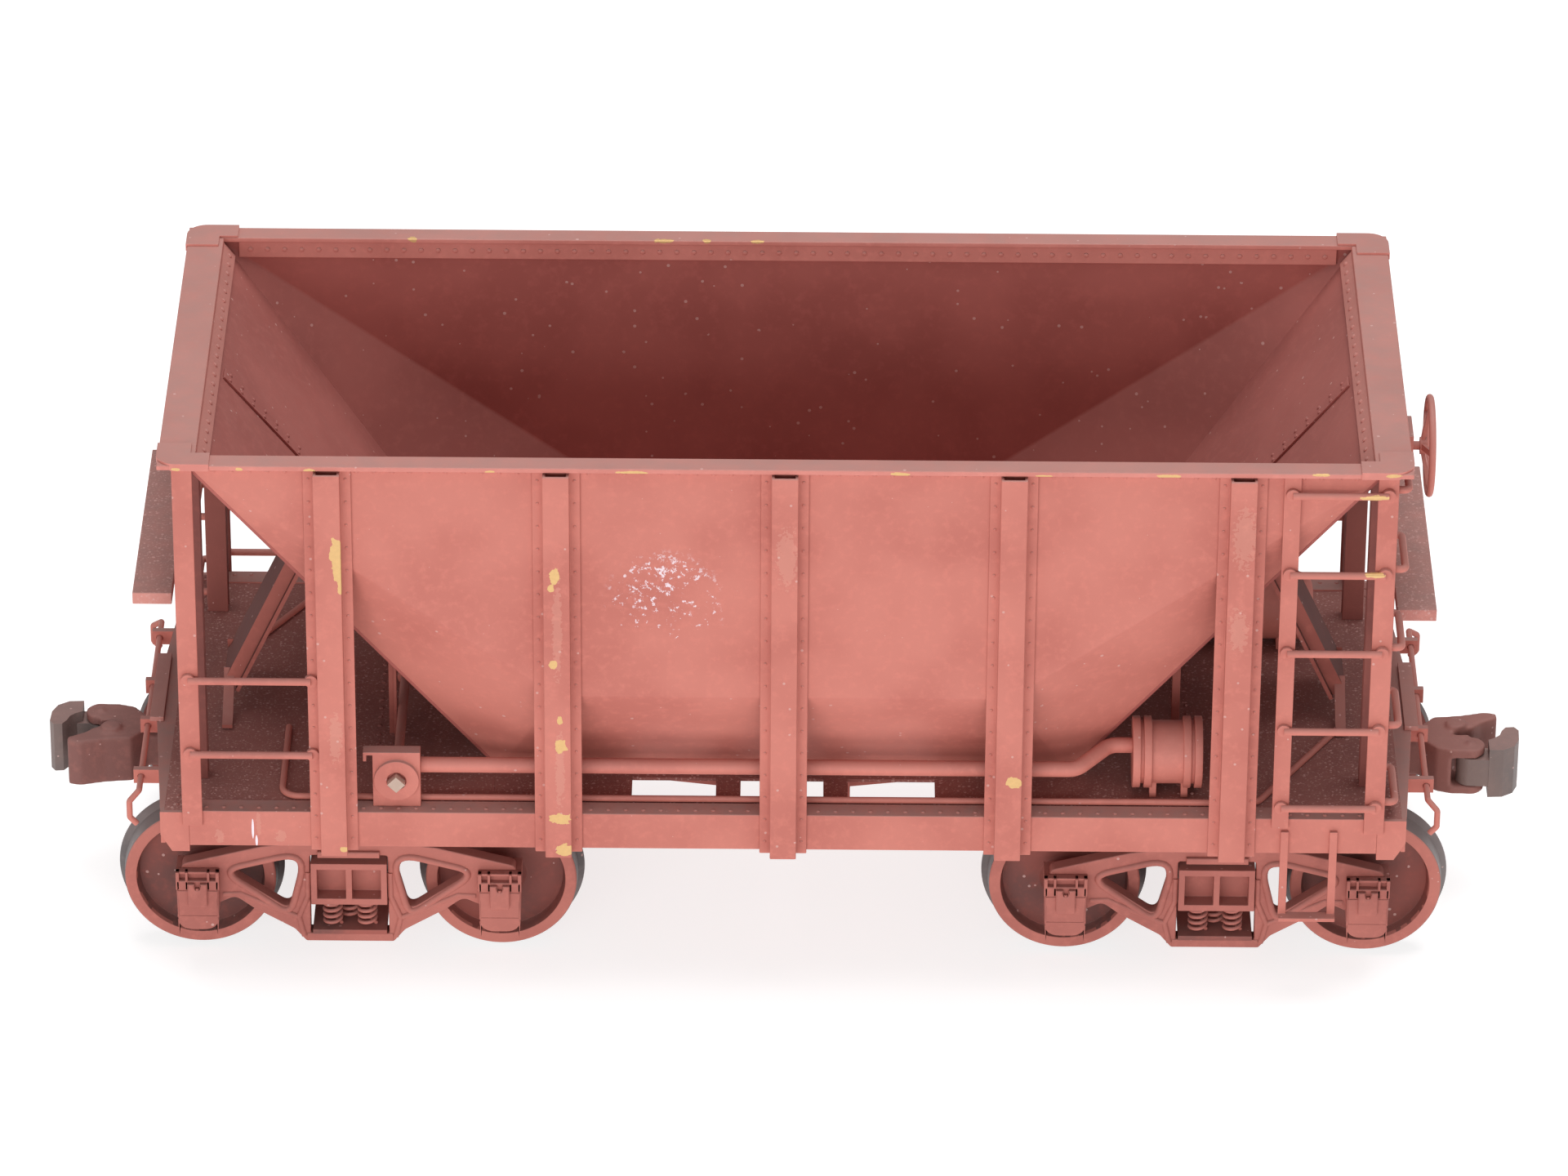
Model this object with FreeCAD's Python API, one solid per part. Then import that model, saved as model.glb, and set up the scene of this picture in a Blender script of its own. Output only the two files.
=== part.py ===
import FreeCAD, Part
import math
import os

# Ore hopper car, 1:48 scale, soldered brass on two sprung trucks.
# Millimetres.  +X runs along the car to the hand-brake end, +Z is up.
# The origin is on the floor under the car's centre; the wheel flanges stand on z = 0.
# Left means -X, right means +X, front means -Y.

V = FreeCAD.Vector

# ---- driving dimensions ---------------------------------------------------
RIM_TOP = 70.0
RIM_OVERHANG_X = 2.95        # top chord past the slope sheet
RIM_OVERHANG_Y = 1.18        # top chord past the side sheet
RIM_PLATE = 0.6              # thickness of the chord's flat leg
RIM_SIDE_WIDTH = 2.6         # flat leg of the side chords
RIM_END_WIDTH = 3.7          # flat leg of the end chords
RIM_LEG_DEPTH = 2.2          # riveted leg inside the hopper
RIM_LEG_PLATE = 0.5
RIM_END_LEG_DEPTH = 1.76     # riveted leg along the slope sheet
CAP_LEG_SIDE = 6.0           # corner cap, along the side
CAP_LEG_END = 5.0
CAP_PLATE = 0.3
CAP_OVERHANG = 0.15
CAP_ROUND = 2.4

SHEET = 0.5                  # body sheet thickness
FACE_Y = 27.8                # outside of the side sheets and side sills
SHEET_END_X = 67.3           # outside of the slope sheet under the rim
FOLD_X = 25.5                # lower corners of the upright side panel
FOLD_Z = 39.9
FOOT_X = 33.0                # hopper outline at deck level
FOOT_Y = 17.4
DECK_TOP = 24.1
OUTLET_Z = 22.8              # open bottom of the hopper
LAP_PLATE = 0.3              # seam strap on the slope sheets
LAP_WIDTH = 2.2
LAP_GAP = 0.6                # below the chord's leg
LAP_FOOT = 6.0               # above the deck
LAP_LEAN = 2.0               # strap's ends to either side of the middle

DECK_PLATE = 0.4
DECK_GAP = 0.2               # round the hopper where it goes through the deck
SLOT_HALF_LENGTH = 17.4      # openings in the walkway
SLOT_IN_Y = 19.3
SLOT_OUT_Y = 24.0

SILL_OVERHANG = 0.7          # side sill past the hopper
SILL_BOTTOM = 19.7
SILL_TOP = 24.3
SILL_PLATE = 0.5
SILL_FLANGE = 2.6
END_SILL_REACH = 5.1         # past the side sill, at the middle
END_SILL_TAPER = 1.8         # less at the corners
END_SILL_FLAT = 6.0          # half width of the straight middle
CORNER_PLATE_DROP = 0.8      # corner plate below the sill
CORNER_CUT_X = 1.3           # its chamfer
CORNER_CUT_Z = 2.2
END_FLANGE_WIDTH = 2.3       # where the deck plate butts
BUFFER_HALF_WIDTH = 7.4
BUFFER_REACH = 0.7           # past the end sill
BUFFER_WIDTH = 1.6
BUFFER_PLATE = 0.6

CENTRE_SILL_HALF = 2.5
CENTRE_SILL_BOTTOM = 19.6

POST_PITCH = 25.66
POST_COUNT = 5
POST_WIDTH = 5.4             # over the flanges
POST_WEB = 3.0               # raised middle
POST_DEPTH = 1.7
POST_PLATE = 0.35
POST_TOP_GAP = 0.3           # under the rim
POST_DROP = 0.3              # below the sill
CORNER_POST_WIDTH = 2.3
CORNER_POST_REACH = 1.4      # outer edge past the slope sheet
CORNER_POST_LEG = 2.3
CORNER_POST_BOTTOM = 22.5
END_POST_INSET = 8.5         # from the side sheet
END_POST_WIDTH = 2.0
END_POST_GAP = 0.1

LADDER_WIDTH = 11.9          # corner post to the middle of the stile
STILE_WIDTH = 1.9
STILE_PLATE = 0.5
RUNG_R = 0.43
RUNG_COUNT = 5
RUNG_LOW = 2.0               # lowest rung above the sill
RUNG_HIGH = 2.9              # highest rung below the rim
GRAB_LOW = 8.2               # grab irons above the deck
GRAB_PITCH = 9.7
PAD_R = 0.75
END_GRAB_STANDOFF = 1.2

BOARD_GAP = 2.4              # end board clear of the corner post
BOARD_WIDTH = 4.5
BOARD_HALF_LENGTH = 17.0
BOARD_DROP = 23.2            # below the rim
BOARD_PLATE = 1.5
BRACKET_Y = 10.0             # board brackets, hidden under the board
BRACKET_DEPTH = 0.8
BRACKET_PLATE = 0.4

STEP_INSET = 7.8             # stirrup step, middle, from the side sill's end
STEP_HALF = 3.25
STEP_BOTTOM = 11.4
STEP_STRAP = 0.9
STEP_PLATE = 0.45
STEP_TREAD = 1.5

BRACE_WIDTH = 6.6
BRACE_DEPTH = 1.8
BRACE_PLATE = 0.45
BRACE_FOOT_INSET = 1.9       # from the slope sheet under the rim
BRACE_HEAD_X = 53.0
BRACE_HEAD_Z = 49.0
STANCHION_GAP = 0.1          # beside the winding shaft
STANCHION_Y = 10.5
STANCHION_WIDTH = 0.95
STANCHION_PLATE = 0.35

CYLINDER_GAP = 0.34          # brake cylinder clear of the slope sheet
CYLINDER_LENGTH = 8.0
CYLINDER_Y = -20.4
CYLINDER_R = 3.65
CYLINDER_FLANGE_R = 4.15
CYLINDER_FLANGE = 0.9
RESERVOIR_X = 48.0
RESERVOIR_LENGTH = 14.3
RESERVOIR_Y = 14.0
RESERVOIR_R = 4.0
SEAT_HEIGHT = 0.5            # gap between a vessel and the deck, filled by its feet

SHAFT_X = -44.2              # winding shaft
SHAFT_Z = 27.9
SHAFT_R = 0.55
SHAFT_SQUARE = 1.47          # square end for the winding bar
SHAFT_SQUARE_REACH = 0.9     # past the bearing
SHAFT_END_GAP = 0.1          # square end clear of the bearing's recess
DRUM_R = 0.9
DRUM_Y = 2.4                 # middle of each chain drum
DRUM_LENGTH = 2.0
RUN_GAP = 0.05               # radial clearance of every running fit
BEARING_WIDTH = 5.45
BEARING_TOP = 31.0
BEARING_INSET = 1.4          # from the side sheet
BEARING_PLATE = 1.2
BEARING_BOSS_R = 2.57
BEARING_BOSS = 0.5
BEARING_RECESS_R = 1.12
BEARING_RECESS = 0.6         # depth, into the boss
BEARING_BAR = 0.4            # angle across the bearing's top
BEARING_BAR_REACH = 1.1      # past the plate, away from the car's middle

AIR_PIPE_R = 0.9
AIR_PIPE_INSET = 3.2         # both pipes, from the side sheet
AIR_PIPE_Z = 28.8
TRAIN_LINE_R = 0.375
LINE_LEFT = -57.5            # where the front train line turns in over the deck
LINE_IN_Y = -9.0
LINE_RIGHT = 54.3            # where it turns towards the end sill
LINE_END = 64.2
LINE_END_Y = 8.1
LINE_BACK = 44.0             # start of the back train line

COUPLER_Z = 16.6
COUPLER_INSET = 9.1          # pivot pin from the end sill
COUPLER_PIN_R = 0.7
SHANK_HALF_WIDTH = 1.6
SHANK_HALF_HEIGHT = 2.0
HEAD_HALF_HEIGHT = 3.0
KNUCKLE_HALF_HEIGHT = 3.2
KNUCKLE_LUG = 1.1
KNUCKLE_GAP = 0.1
KNUCKLE_REACH = 16.4         # knuckle pin from the pivot pin
KNUCKLE_PIVOT_Y = -2.7
KNUCKLE_PIN_R = 0.45
DRAFT_BOX_BACK = 2.5         # behind the pivot pin
DRAFT_BOX_MOUTH = 8.4        # in front of the pivot pin
DRAFT_BOX_HALF_WIDTH = 4.0
DRAFT_BOX_PLATE = 0.6
DRAFT_GAP = 0.15
LEVER_R = 0.35
LEVER_REACH = 1.2            # past the end sill
LEVER_Z = 22.0
LEVER_HALF = 19.5
LEVER_DROP = 4.0

BRAKE_WHEEL_REACH = 4.8      # past the corner post
BRAKE_WHEEL_Y = -7.5
BRAKE_WHEEL_DROP = 8.0       # below the rim
BRAKE_WHEEL_R = 5.5
BRAKE_WHEEL_RIM_R = 0.4
BRAKE_WHEEL_DISH = 0.8
BRAKE_SPOKES = 5
BRAKE_SHAFT_R = 0.5
BRAKE_BOX_REACH = 0.6        # past the corner post
BRAKE_BOX_DEPTH = 2.2
BRAKE_BOX_SIZE = 5.0
BRAKE_ROD_R = 0.35

DOOR_HINGE_X = 6.5
DOOR_HINGE_Z = 19.0
DOOR_TOP = 22.3
DOOR_PLATE = 0.5
DOOR_TIP_X = 31.7
DOOR_HALF_WIDTH = 12.6       # inside the wheels when a truck has turned
DOOR_INNER_Y = 3.0
DOOR_ROD_R = 0.5
DOOR_LAP = 0.7               # door under the ledge
LEDGE_PLATE = 0.4
EAR_IN_Y = 14.3
EAR_PLATE = 0.6
CROSS_TIE_X = (-6.35, 6.0)   # middles of the two cross ties
CROSS_TIE_WIDTH = 2.8
CROSS_TIE_DEPTH = 2.7

WHEELBASE = 34.925
TRUCK_INSET = 22.94          # truck centre from the end sill
AXLE_Z = 9.63
FLANGE_R = 9.63
TREAD_R = 8.8
WHEEL_BACK_Y = 14.5
WHEEL_FACE_Y = 18.31
WHEEL_BORE_R = 1.25
JOURNAL_R = 0.8
JOURNAL_END_Y = 21.6
FRAME_IN_Y = 20.2
FRAME_OUT_Y = 22.0
JOURNAL_BOX_IN_Y = 19.2
JOURNAL_BOX_OUT_Y = 23.4
JOURNAL_BOX_WIDTH = 5.1
JOURNAL_BOX_BOTTOM = 5.7
JOURNAL_BOX_TOP = 13.2
LIP = 0.4                    # raised edge round the frame's openings
LIP_WIDTH = 0.7
FRAME_BOTTOM = 3.3
FRAME_SEAT = 4.4
WINDOW_HALF = 4.6            # bolster window in the side frame
WINDOW_TOP = 14.9
PLANK_PLATE = 0.6
PLANK_HALF_WIDTH = 4.3
PLANK_OUT_Y = 22.3
BOLSTER_HALF_WIDTH = 4.4
BOLSTER_BOTTOM = 8.6
BOLSTER_END_TOP = 14.1
BOLSTER_END_Y = 22.6
BOLSTER_MID_TOP = 17.2
BOWL_TOP = 17.7
BOWL_R = 3.4
CENTRE_PLATE_GAP = 0.1
KING_PIN_R = 0.9
SPRING_R = 0.95              # middle of the wire
SPRING_WIRE_R = 0.22
SPRING_TURNS = 4.0
SPRING_SPOTS = ((-2.0, 21.0), (2.0, 21.0), (0.0, 19.2))

# ---- values that follow from the ones above -------------------------------
RIM_HALF_LENGTH = SHEET_END_X + RIM_OVERHANG_X
RIM_HALF_WIDTH = FACE_Y + RIM_OVERHANG_Y
SILL_HALF_LENGTH = SHEET_END_X + SILL_OVERHANG
END_SILL_X = SILL_HALF_LENGTH + END_SILL_REACH
END_SILL_CORNER_X = END_SILL_X - END_SILL_TAPER
END_FLANGE_X = END_SILL_X - END_FLANGE_WIDTH
BUFFER_X = END_SILL_X + BUFFER_REACH
CORNER_POST_X = SHEET_END_X + CORNER_POST_REACH
END_POST_Y = FACE_Y - END_POST_INSET
LADDER_X = CORNER_POST_X - LADDER_WIDTH
RUNG_START = SILL_TOP + RUNG_LOW
RUNG_PITCH = (RIM_TOP - RUNG_HIGH - RUNG_START) / (RUNG_COUNT - 1)
RUNG_LEVELS = [RUNG_START + RUNG_PITCH * i for i in range(RUNG_COUNT)]
GRAB_LEVELS = [DECK_TOP + GRAB_LOW + GRAB_PITCH * i for i in range(2)]
BOARD_X = CORNER_POST_X + BOARD_GAP
BOARD_TOP = RIM_TOP - BOARD_DROP
STEP_X = SILL_HALF_LENGTH - STEP_INSET
BRACE_FOOT_X = SHEET_END_X - BRACE_FOOT_INSET
STANCHION_X = -SHAFT_X + SHAFT_R + STANCHION_GAP + STANCHION_WIDTH / 2
BEARING_OUT_Y = FACE_Y - BEARING_INSET
BEARING_IN_Y = BEARING_OUT_Y - BEARING_PLATE
AIR_PIPE_Y = AIR_PIPE_INSET - FACE_Y
TRAIN_LINE_Y = AIR_PIPE_Y
COUPLER_PIVOT_X = END_SILL_X - COUPLER_INSET
KNUCKLE_PIVOT_X = COUPLER_PIVOT_X + KNUCKLE_REACH
DRAFT_BOX_X = COUPLER_PIVOT_X - DRAFT_BOX_BACK
DRAFT_BOX_MOUTH_X = COUPLER_PIVOT_X + DRAFT_BOX_MOUTH
LEVER_X = END_SILL_X + LEVER_REACH
BRAKE_WHEEL_X = CORNER_POST_X + BRAKE_WHEEL_REACH
BRAKE_WHEEL_Z = RIM_TOP - BRAKE_WHEEL_DROP
BRAKE_BOX_X = CORNER_POST_X + BRAKE_BOX_REACH
TRUCK_X = END_SILL_X - TRUCK_INSET
RIM_UNDER = RIM_TOP - RIM_PLATE
DECK_UNDER = DECK_TOP - DECK_PLATE
SLOPE_RUN = (SHEET_END_X - FOOT_X) / (RIM_UNDER - DECK_TOP)
FLARE_RUN = (FACE_Y - FOOT_Y) / (FOLD_Z - DECK_TOP)
SLOPE_COS = 1 / math.hypot(1, SLOPE_RUN)
DECK_IN_X = FOOT_X + DECK_GAP
DECK_IN_Y = FOOT_Y + DECK_GAP
DECK_OUT_Y = FACE_Y - SILL_FLANGE
SILL_IN_Y = FACE_Y - SILL_PLATE
POST_OUT_Y = FACE_Y + POST_PLATE
OUTLET_Y = FOOT_Y - FLARE_RUN * (DECK_TOP - OUTLET_Z)
OUTLET_X = FOOT_X - SLOPE_RUN * (DECK_TOP - OUTLET_Z)
LEDGE_BOTTOM = OUTLET_Z - LEDGE_PLATE
LEDGE_IN_Y = DOOR_HALF_WIDTH - DOOR_LAP
DRAFT_BOX_TOP = CENTRE_SILL_BOTTOM
END_POST_X = SHEET_END_X + END_POST_GAP
PLANK_TOP = FRAME_SEAT + PLANK_PLATE
STILE_FACE = FACE_Y + STILE_PLATE
END_PLATE_Y = SILL_IN_Y
BEARING_FACE_Y = BEARING_OUT_Y + BEARING_BOSS
SHAFT_FRONT_Y = BEARING_FACE_Y - BEARING_RECESS + SHAFT_END_GAP
SHAFT_SQUARE_END = BEARING_FACE_Y + SHAFT_SQUARE_REACH
CYLINDER_Z = DECK_TOP + SEAT_HEIGHT + CYLINDER_FLANGE_R
CYLINDER_X = FOOT_X + SLOPE_RUN * (CYLINDER_Z + CYLINDER_FLANGE_R - DECK_TOP) + CYLINDER_GAP
BIG = 400.0


# ---- shape helpers --------------------------------------------------------
def box(x0, x1, y0, y1, z0, z1):
    low = V(min(x0, x1), min(y0, y1), min(z0, z1))
    return Part.makeBox(abs(x1 - x0), abs(y1 - y0), abs(z1 - z0), low)


def prism(points, way):
    """Solid from a closed outline of 3-D points, pushed along a vector."""
    outline = Part.makePolygon(points + [points[0]])
    return Part.Face(outline).extrude(way)


def prism_x(points, x0, x1):
    return prism([V(x0, y, z) for y, z in points], V(x1 - x0, 0, 0))


def prism_y(points, y0, y1):
    return prism([V(x, y0, z) for x, z in points], V(0, y1 - y0, 0))


def prism_z(points, z0, z1):
    return prism([V(x, y, z0) for x, y in points], V(0, 0, z1 - z0))


def rod_x(r, x0, x1, y, z):
    return Part.makeCylinder(r, x1 - x0, V(x0, y, z), V(1, 0, 0))


def rod_y(r, y0, y1, x, z):
    return Part.makeCylinder(r, y1 - y0, V(x, y0, z), V(0, 1, 0))


def rod_z(r, z0, z1, x, y):
    return Part.makeCylinder(r, z1 - z0, V(x, y, z0), V(0, 0, 1))


def mirror_x(shape):
    return shape.mirror(V(0, 0, 0), V(1, 0, 0))


def mirror_y(shape):
    return shape.mirror(V(0, 0, 0), V(0, 1, 0))


def turned(shape):
    """The same piece at the other end of the car, turned half a turn about Z."""
    copy = shape.copy()
    copy.rotate(V(0, 0, 0), V(0, 0, 1), 180)
    return copy


def moved(shape, x, y=0.0, z=0.0):
    copy = shape.copy()
    copy.translate(V(x, y, z))
    return copy


def fused(shapes):
    whole = shapes[0]
    for shape in shapes[1:]:
        whole = whole.fuse(shape)
    return whole.removeSplitter()


def tube(points, radius, bend):
    """Round bar through the points, with an arc of one radius at each corner."""
    points = [V(*p) for p in points]
    edges = []
    start = points[0]
    for before, corner, after in zip(points, points[1:], points[2:]):
        way_in = (corner - before).normalize()
        way_out = (after - corner).normalize()
        turn = way_in.getAngle(way_out)
        reach = bend * math.tan(turn / 2)
        arc_start = corner - way_in * reach
        arc_end = corner + way_out * reach
        inside = (way_out - way_in).normalize()
        to_middle = bend / math.cos(turn / 2) - bend
        middle = corner + inside * to_middle
        edges.append(Part.LineSegment(start, arc_start).toShape())
        edges.append(Part.Arc(arc_start, middle, arc_end).toShape())
        start = arc_end
    edges.append(Part.LineSegment(start, points[-1]).toShape())
    path = Part.Wire(edges)
    ring = Part.Wire([Part.makeCircle(radius, points[0], (points[1] - points[0]).normalize())])
    return path.makePipeShell([ring], True, False)


def save(node, shapes):
    solids = []
    for shape in shapes:
        solids.extend(shape.Solids)
    whole = solids[0] if len(solids) == 1 else Part.makeCompound(solids)
    whole.exportStep("parts/" + node + ".step")
    print(node, len(solids), round(sum(s.Volume for s in solids), 2))


os.makedirs("parts", exist_ok=True)


# ---- hopper ---------------------------------------------------------------
def beyond(points, inset):
    """Everything outside the plane through three points of the hopper, moved inwards."""
    normal = (points[1] - points[0]).cross(points[2] - points[0]).normalize()
    centre = V(0, 0, (RIM_TOP + DECK_TOP) / 2)
    if normal.dot(centre - points[0]) > 0:
        normal = normal * -1
    block = Part.makeBox(BIG, BIG, BIG, V(-BIG / 2, -BIG / 2, 0))
    block.Placement = FreeCAD.Placement(points[0] - normal * inset,
                                        FreeCAD.Rotation(V(0, 0, 1), normal))
    return block


def hopper_planes():
    """Three points on each sloping plane of the hopper's outside."""
    planes = []
    for sx in (-1, 1):
        rim = [V(sx * SHEET_END_X, sy * FACE_Y, RIM_UNDER) for sy in (-1, 1)]
        planes.append((rim[0], rim[1], V(sx * FOOT_X, FOOT_Y, DECK_TOP)))
        for sy in (-1, 1):
            corner = V(sx * SHEET_END_X, sy * FACE_Y, RIM_UNDER)
            fold = V(sx * FOLD_X, sy * FACE_Y, FOLD_Z)
            foot = V(sx * FOOT_X, sy * FOOT_Y, DECK_TOP)
            planes.append((corner, fold, foot))
    for sy in (-1, 1):
        fold = [V(sx * FOLD_X, sy * FACE_Y, FOLD_Z) for sx in (-1, 1)]
        planes.append((fold[0], fold[1], V(FOOT_X, sy * FOOT_Y, DECK_TOP)))
    return planes


def hopper_solid(inset, z0, z1):
    half = FACE_Y - inset
    solid = box(-SHEET_END_X, SHEET_END_X, -half, half, z0, z1)
    for points in hopper_planes():
        solid = solid.cut(beyond(points, inset))
    return solid


def slope_zone(sx):
    """The slab that one slope sheet fills."""
    rim = [V(sx * SHEET_END_X, sy * FACE_Y, RIM_UNDER) for sy in (-1, 1)]
    return beyond((rim[0], rim[1], V(sx * FOOT_X, FOOT_Y, DECK_TOP)), SHEET)


hopper_out = hopper_solid(0.0, OUTLET_Z, RIM_UNDER)
hopper_in = hopper_solid(SHEET, OUTLET_Z - 1, RIM_UNDER + 1)
shell = hopper_out.cut(hopper_in)
zone_left = slope_zone(-1)
zone_right = slope_zone(1)
save("slope_sheet_left", [shell.common(zone_left)])
save("slope_sheet_right", [shell.common(zone_right)])
side_sheets = shell.cut(zone_left).cut(zone_right)
save("side_sheet_front", [s for s in side_sheets.Solids if s.CenterOfMass.y < 0])
save("side_sheet_back", [s for s in side_sheets.Solids if s.CenterOfMass.y > 0])


def slope_x(z, inset):
    """Where the right slope sheet's plane, moved inwards, is at a height."""
    return FOOT_X + SLOPE_RUN * (z - DECK_TOP) - inset / SLOPE_COS


def seam_strap():
    """Lap strip on the inside of the right slope sheet, a little off the middle."""
    high = RIM_UNDER - RIM_LEG_DEPTH - LAP_GAP
    low = DECK_TOP + LAP_FOOT
    points = [V(slope_x(high, SHEET), -LAP_LEAN, high), V(slope_x(high, SHEET), LAP_WIDTH - LAP_LEAN, high),
              V(slope_x(low, SHEET), LAP_LEAN + LAP_WIDTH, low), V(slope_x(low, SHEET), LAP_LEAN, low)]
    normal = V(-1, 0, SLOPE_RUN).normalize()
    return prism(points, normal * LAP_PLATE)


save("slope_seam_straps", [seam_strap(), mirror_x(seam_strap())])

# Ridge caps that shed ore over the centre sill and between the doors.
RIDGE_TOP = OUTLET_Z + 6.2
RIDGE_HALF = CENTRE_SILL_HALF + 0.9
RIDGE_FOOT = OUTLET_Z + 0.1
RIDGE_PLATE = 0.4
CROSS_RIDGE_TOP = OUTLET_Z + 10.2
CROSS_RIDGE_HALF = 6.6


def ridge_outline(half, top, plate):
    drop = plate * math.hypot(top - RIDGE_FOOT, half) / half
    inner_half = half * (top - drop - RIDGE_FOOT) / (top - RIDGE_FOOT)
    return [(-half, RIDGE_FOOT), (0, top), (half, RIDGE_FOOT),
            (inner_half, RIDGE_FOOT), (0, top - drop), (-inner_half, RIDGE_FOOT)]


long_ridge = prism_x(ridge_outline(RIDGE_HALF, RIDGE_TOP, RIDGE_PLATE), -SHEET_END_X, SHEET_END_X)
long_tent = prism_x([(-RIDGE_HALF, RIDGE_FOOT), (0, RIDGE_TOP), (RIDGE_HALF, RIDGE_FOOT)],
                    -SHEET_END_X, SHEET_END_X)
cross_ridge = prism_y(ridge_outline(CROSS_RIDGE_HALF, CROSS_RIDGE_TOP, RIDGE_PLATE), -FACE_Y, FACE_Y)
save("ridge_caps", [long_ridge.common(hopper_in), cross_ridge.common(hopper_in).cut(long_tent)])

# ---- top chord ------------------------------------------------------------
chord_y = RIM_HALF_WIDTH - RIM_SIDE_WIDTH
chord_x = RIM_HALF_LENGTH - RIM_END_WIDTH


def side_chord():
    flat = box(-RIM_HALF_LENGTH, RIM_HALF_LENGTH, -RIM_HALF_WIDTH, -chord_y, RIM_UNDER, RIM_TOP)
    leg_out = FACE_Y - SHEET
    leg_half = slope_x(RIM_UNDER - RIM_LEG_DEPTH, SHEET + RIM_LEG_PLATE)
    leg = box(-leg_half, leg_half, -leg_out, -leg_out + RIM_LEG_PLATE,
              RIM_UNDER - RIM_LEG_DEPTH, RIM_UNDER)
    return fused([flat, leg.common(hopper_in)])


def end_chord():
    """Flat leg between the side chords, and a leg bent down along the slope sheet."""
    flat = box(chord_x, RIM_HALF_LENGTH, -chord_y, chord_y, RIM_UNDER, RIM_TOP)
    low = RIM_UNDER - RIM_END_LEG_DEPTH
    outline = [(slope_x(RIM_UNDER, SHEET), RIM_UNDER), (slope_x(low, SHEET), low),
               (slope_x(low, SHEET + RIM_LEG_PLATE), low),
               (slope_x(RIM_UNDER, SHEET + RIM_LEG_PLATE), RIM_UNDER),
               (slope_x(RIM_UNDER, SHEET + RIM_LEG_PLATE), RIM_TOP), (chord_x, RIM_TOP),
               (chord_x, RIM_UNDER)]
    half = FACE_Y - SHEET - RIM_LEG_PLATE
    leg = prism_y(outline, -min(half, chord_y), min(half, chord_y))
    return fused([flat, leg])


save("top_chord_sides", [side_chord(), turned(side_chord())])
save("top_chord_ends", [end_chord(), turned(end_chord())])


def corner_cap():
    """L plate over the right front corner, rounded outside, lapping the chord's edges."""
    x1 = RIM_HALF_LENGTH + CAP_OVERHANG
    y1 = RIM_HALF_WIDTH + CAP_OVERHANG
    top = RIM_TOP + CAP_PLATE
    plate = box(x1 - CAP_LEG_SIDE, x1, -y1, -y1 + CAP_LEG_END, RIM_UNDER, top)
    upright = [e for e in plate.Edges if abs(e.CenterOfMass.x - x1) < 1e-6
               and abs(e.CenterOfMass.y + y1) < 1e-6]
    plate = plate.makeFillet(CAP_ROUND, upright)
    plate = plate.cut(box(0, chord_x, -chord_y, 0, 0, BIG))
    return plate.cut(box(-BIG, RIM_HALF_LENGTH, -RIM_HALF_WIDTH, BIG, 0, RIM_TOP))


def four_corners(shape):
    return [shape, mirror_x(shape), mirror_y(shape), turned(shape)]


save("rim_corner_caps", four_corners(corner_cap()))


# ---- posts ----------------------------------------------------------------
def side_post(x):
    """Hat section, soldered to the side sheet and sill, with its top end open."""
    flange = POST_WIDTH / 2
    web = POST_WEB / 2
    hole = web - POST_PLATE
    face = -FACE_Y
    outline = [(-flange, face), (-flange, face - POST_PLATE), (-web, face - POST_PLATE),
               (-web, face - POST_DEPTH), (web, face - POST_DEPTH), (web, face - POST_PLATE),
               (flange, face - POST_PLATE), (flange, face), (hole, face),
               (hole, face - POST_DEPTH + POST_PLATE), (-hole, face - POST_DEPTH + POST_PLATE),
               (-hole, face)]
    return moved(prism_z(outline, SILL_BOTTOM - POST_DROP, RIM_UNDER - POST_TOP_GAP), x)


post_xs = [POST_PITCH * (i - (POST_COUNT - 1) / 2) for i in range(POST_COUNT)]
front_posts = [side_post(x) for x in post_xs]
save("side_posts", front_posts + [turned(post) for post in front_posts])


def corner_post():
    """Angle with one leg over the side sill's end and one facing the car's end."""
    front = box(CORNER_POST_X - CORNER_POST_WIDTH, CORNER_POST_X, -POST_OUT_Y, -FACE_Y,
                CORNER_POST_BOTTOM, RIM_UNDER)
    leg = box(CORNER_POST_X - POST_PLATE, CORNER_POST_X, -FACE_Y, -FACE_Y + CORNER_POST_LEG,
              DECK_TOP, RIM_UNDER)
    return fused([front, leg])


save("corner_posts", four_corners(corner_post()))


def end_post():
    """Channel between the deck and the end chord, open inwards."""
    y0 = -END_POST_Y - END_POST_WIDTH / 2
    y1 = y0 + END_POST_WIDTH
    outer = box(END_POST_X, CORNER_POST_X, y0, y1, DECK_TOP, RIM_UNDER)
    hollow = box(END_POST_X, CORNER_POST_X - POST_PLATE, y0 + POST_PLATE, y1 - POST_PLATE, 0, BIG)
    return outer.cut(hollow)


save("end_posts", four_corners(end_post()))

# ---- underframe -----------------------------------------------------------
def side_sill():
    x1 = SILL_HALF_LENGTH
    web = box(-x1, x1, -FACE_Y, -SILL_IN_Y, SILL_BOTTOM, SILL_TOP)
    top = box(-x1, x1, -FACE_Y, -DECK_OUT_Y, SILL_TOP - SILL_PLATE, SILL_TOP)
    bottom = box(-x1, x1, -FACE_Y, -DECK_OUT_Y - SILL_PLATE, SILL_BOTTOM, SILL_BOTTOM + SILL_PLATE)
    return fused([web, top, bottom])


save("side_sills", [side_sill(), turned(side_sill())])


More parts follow.
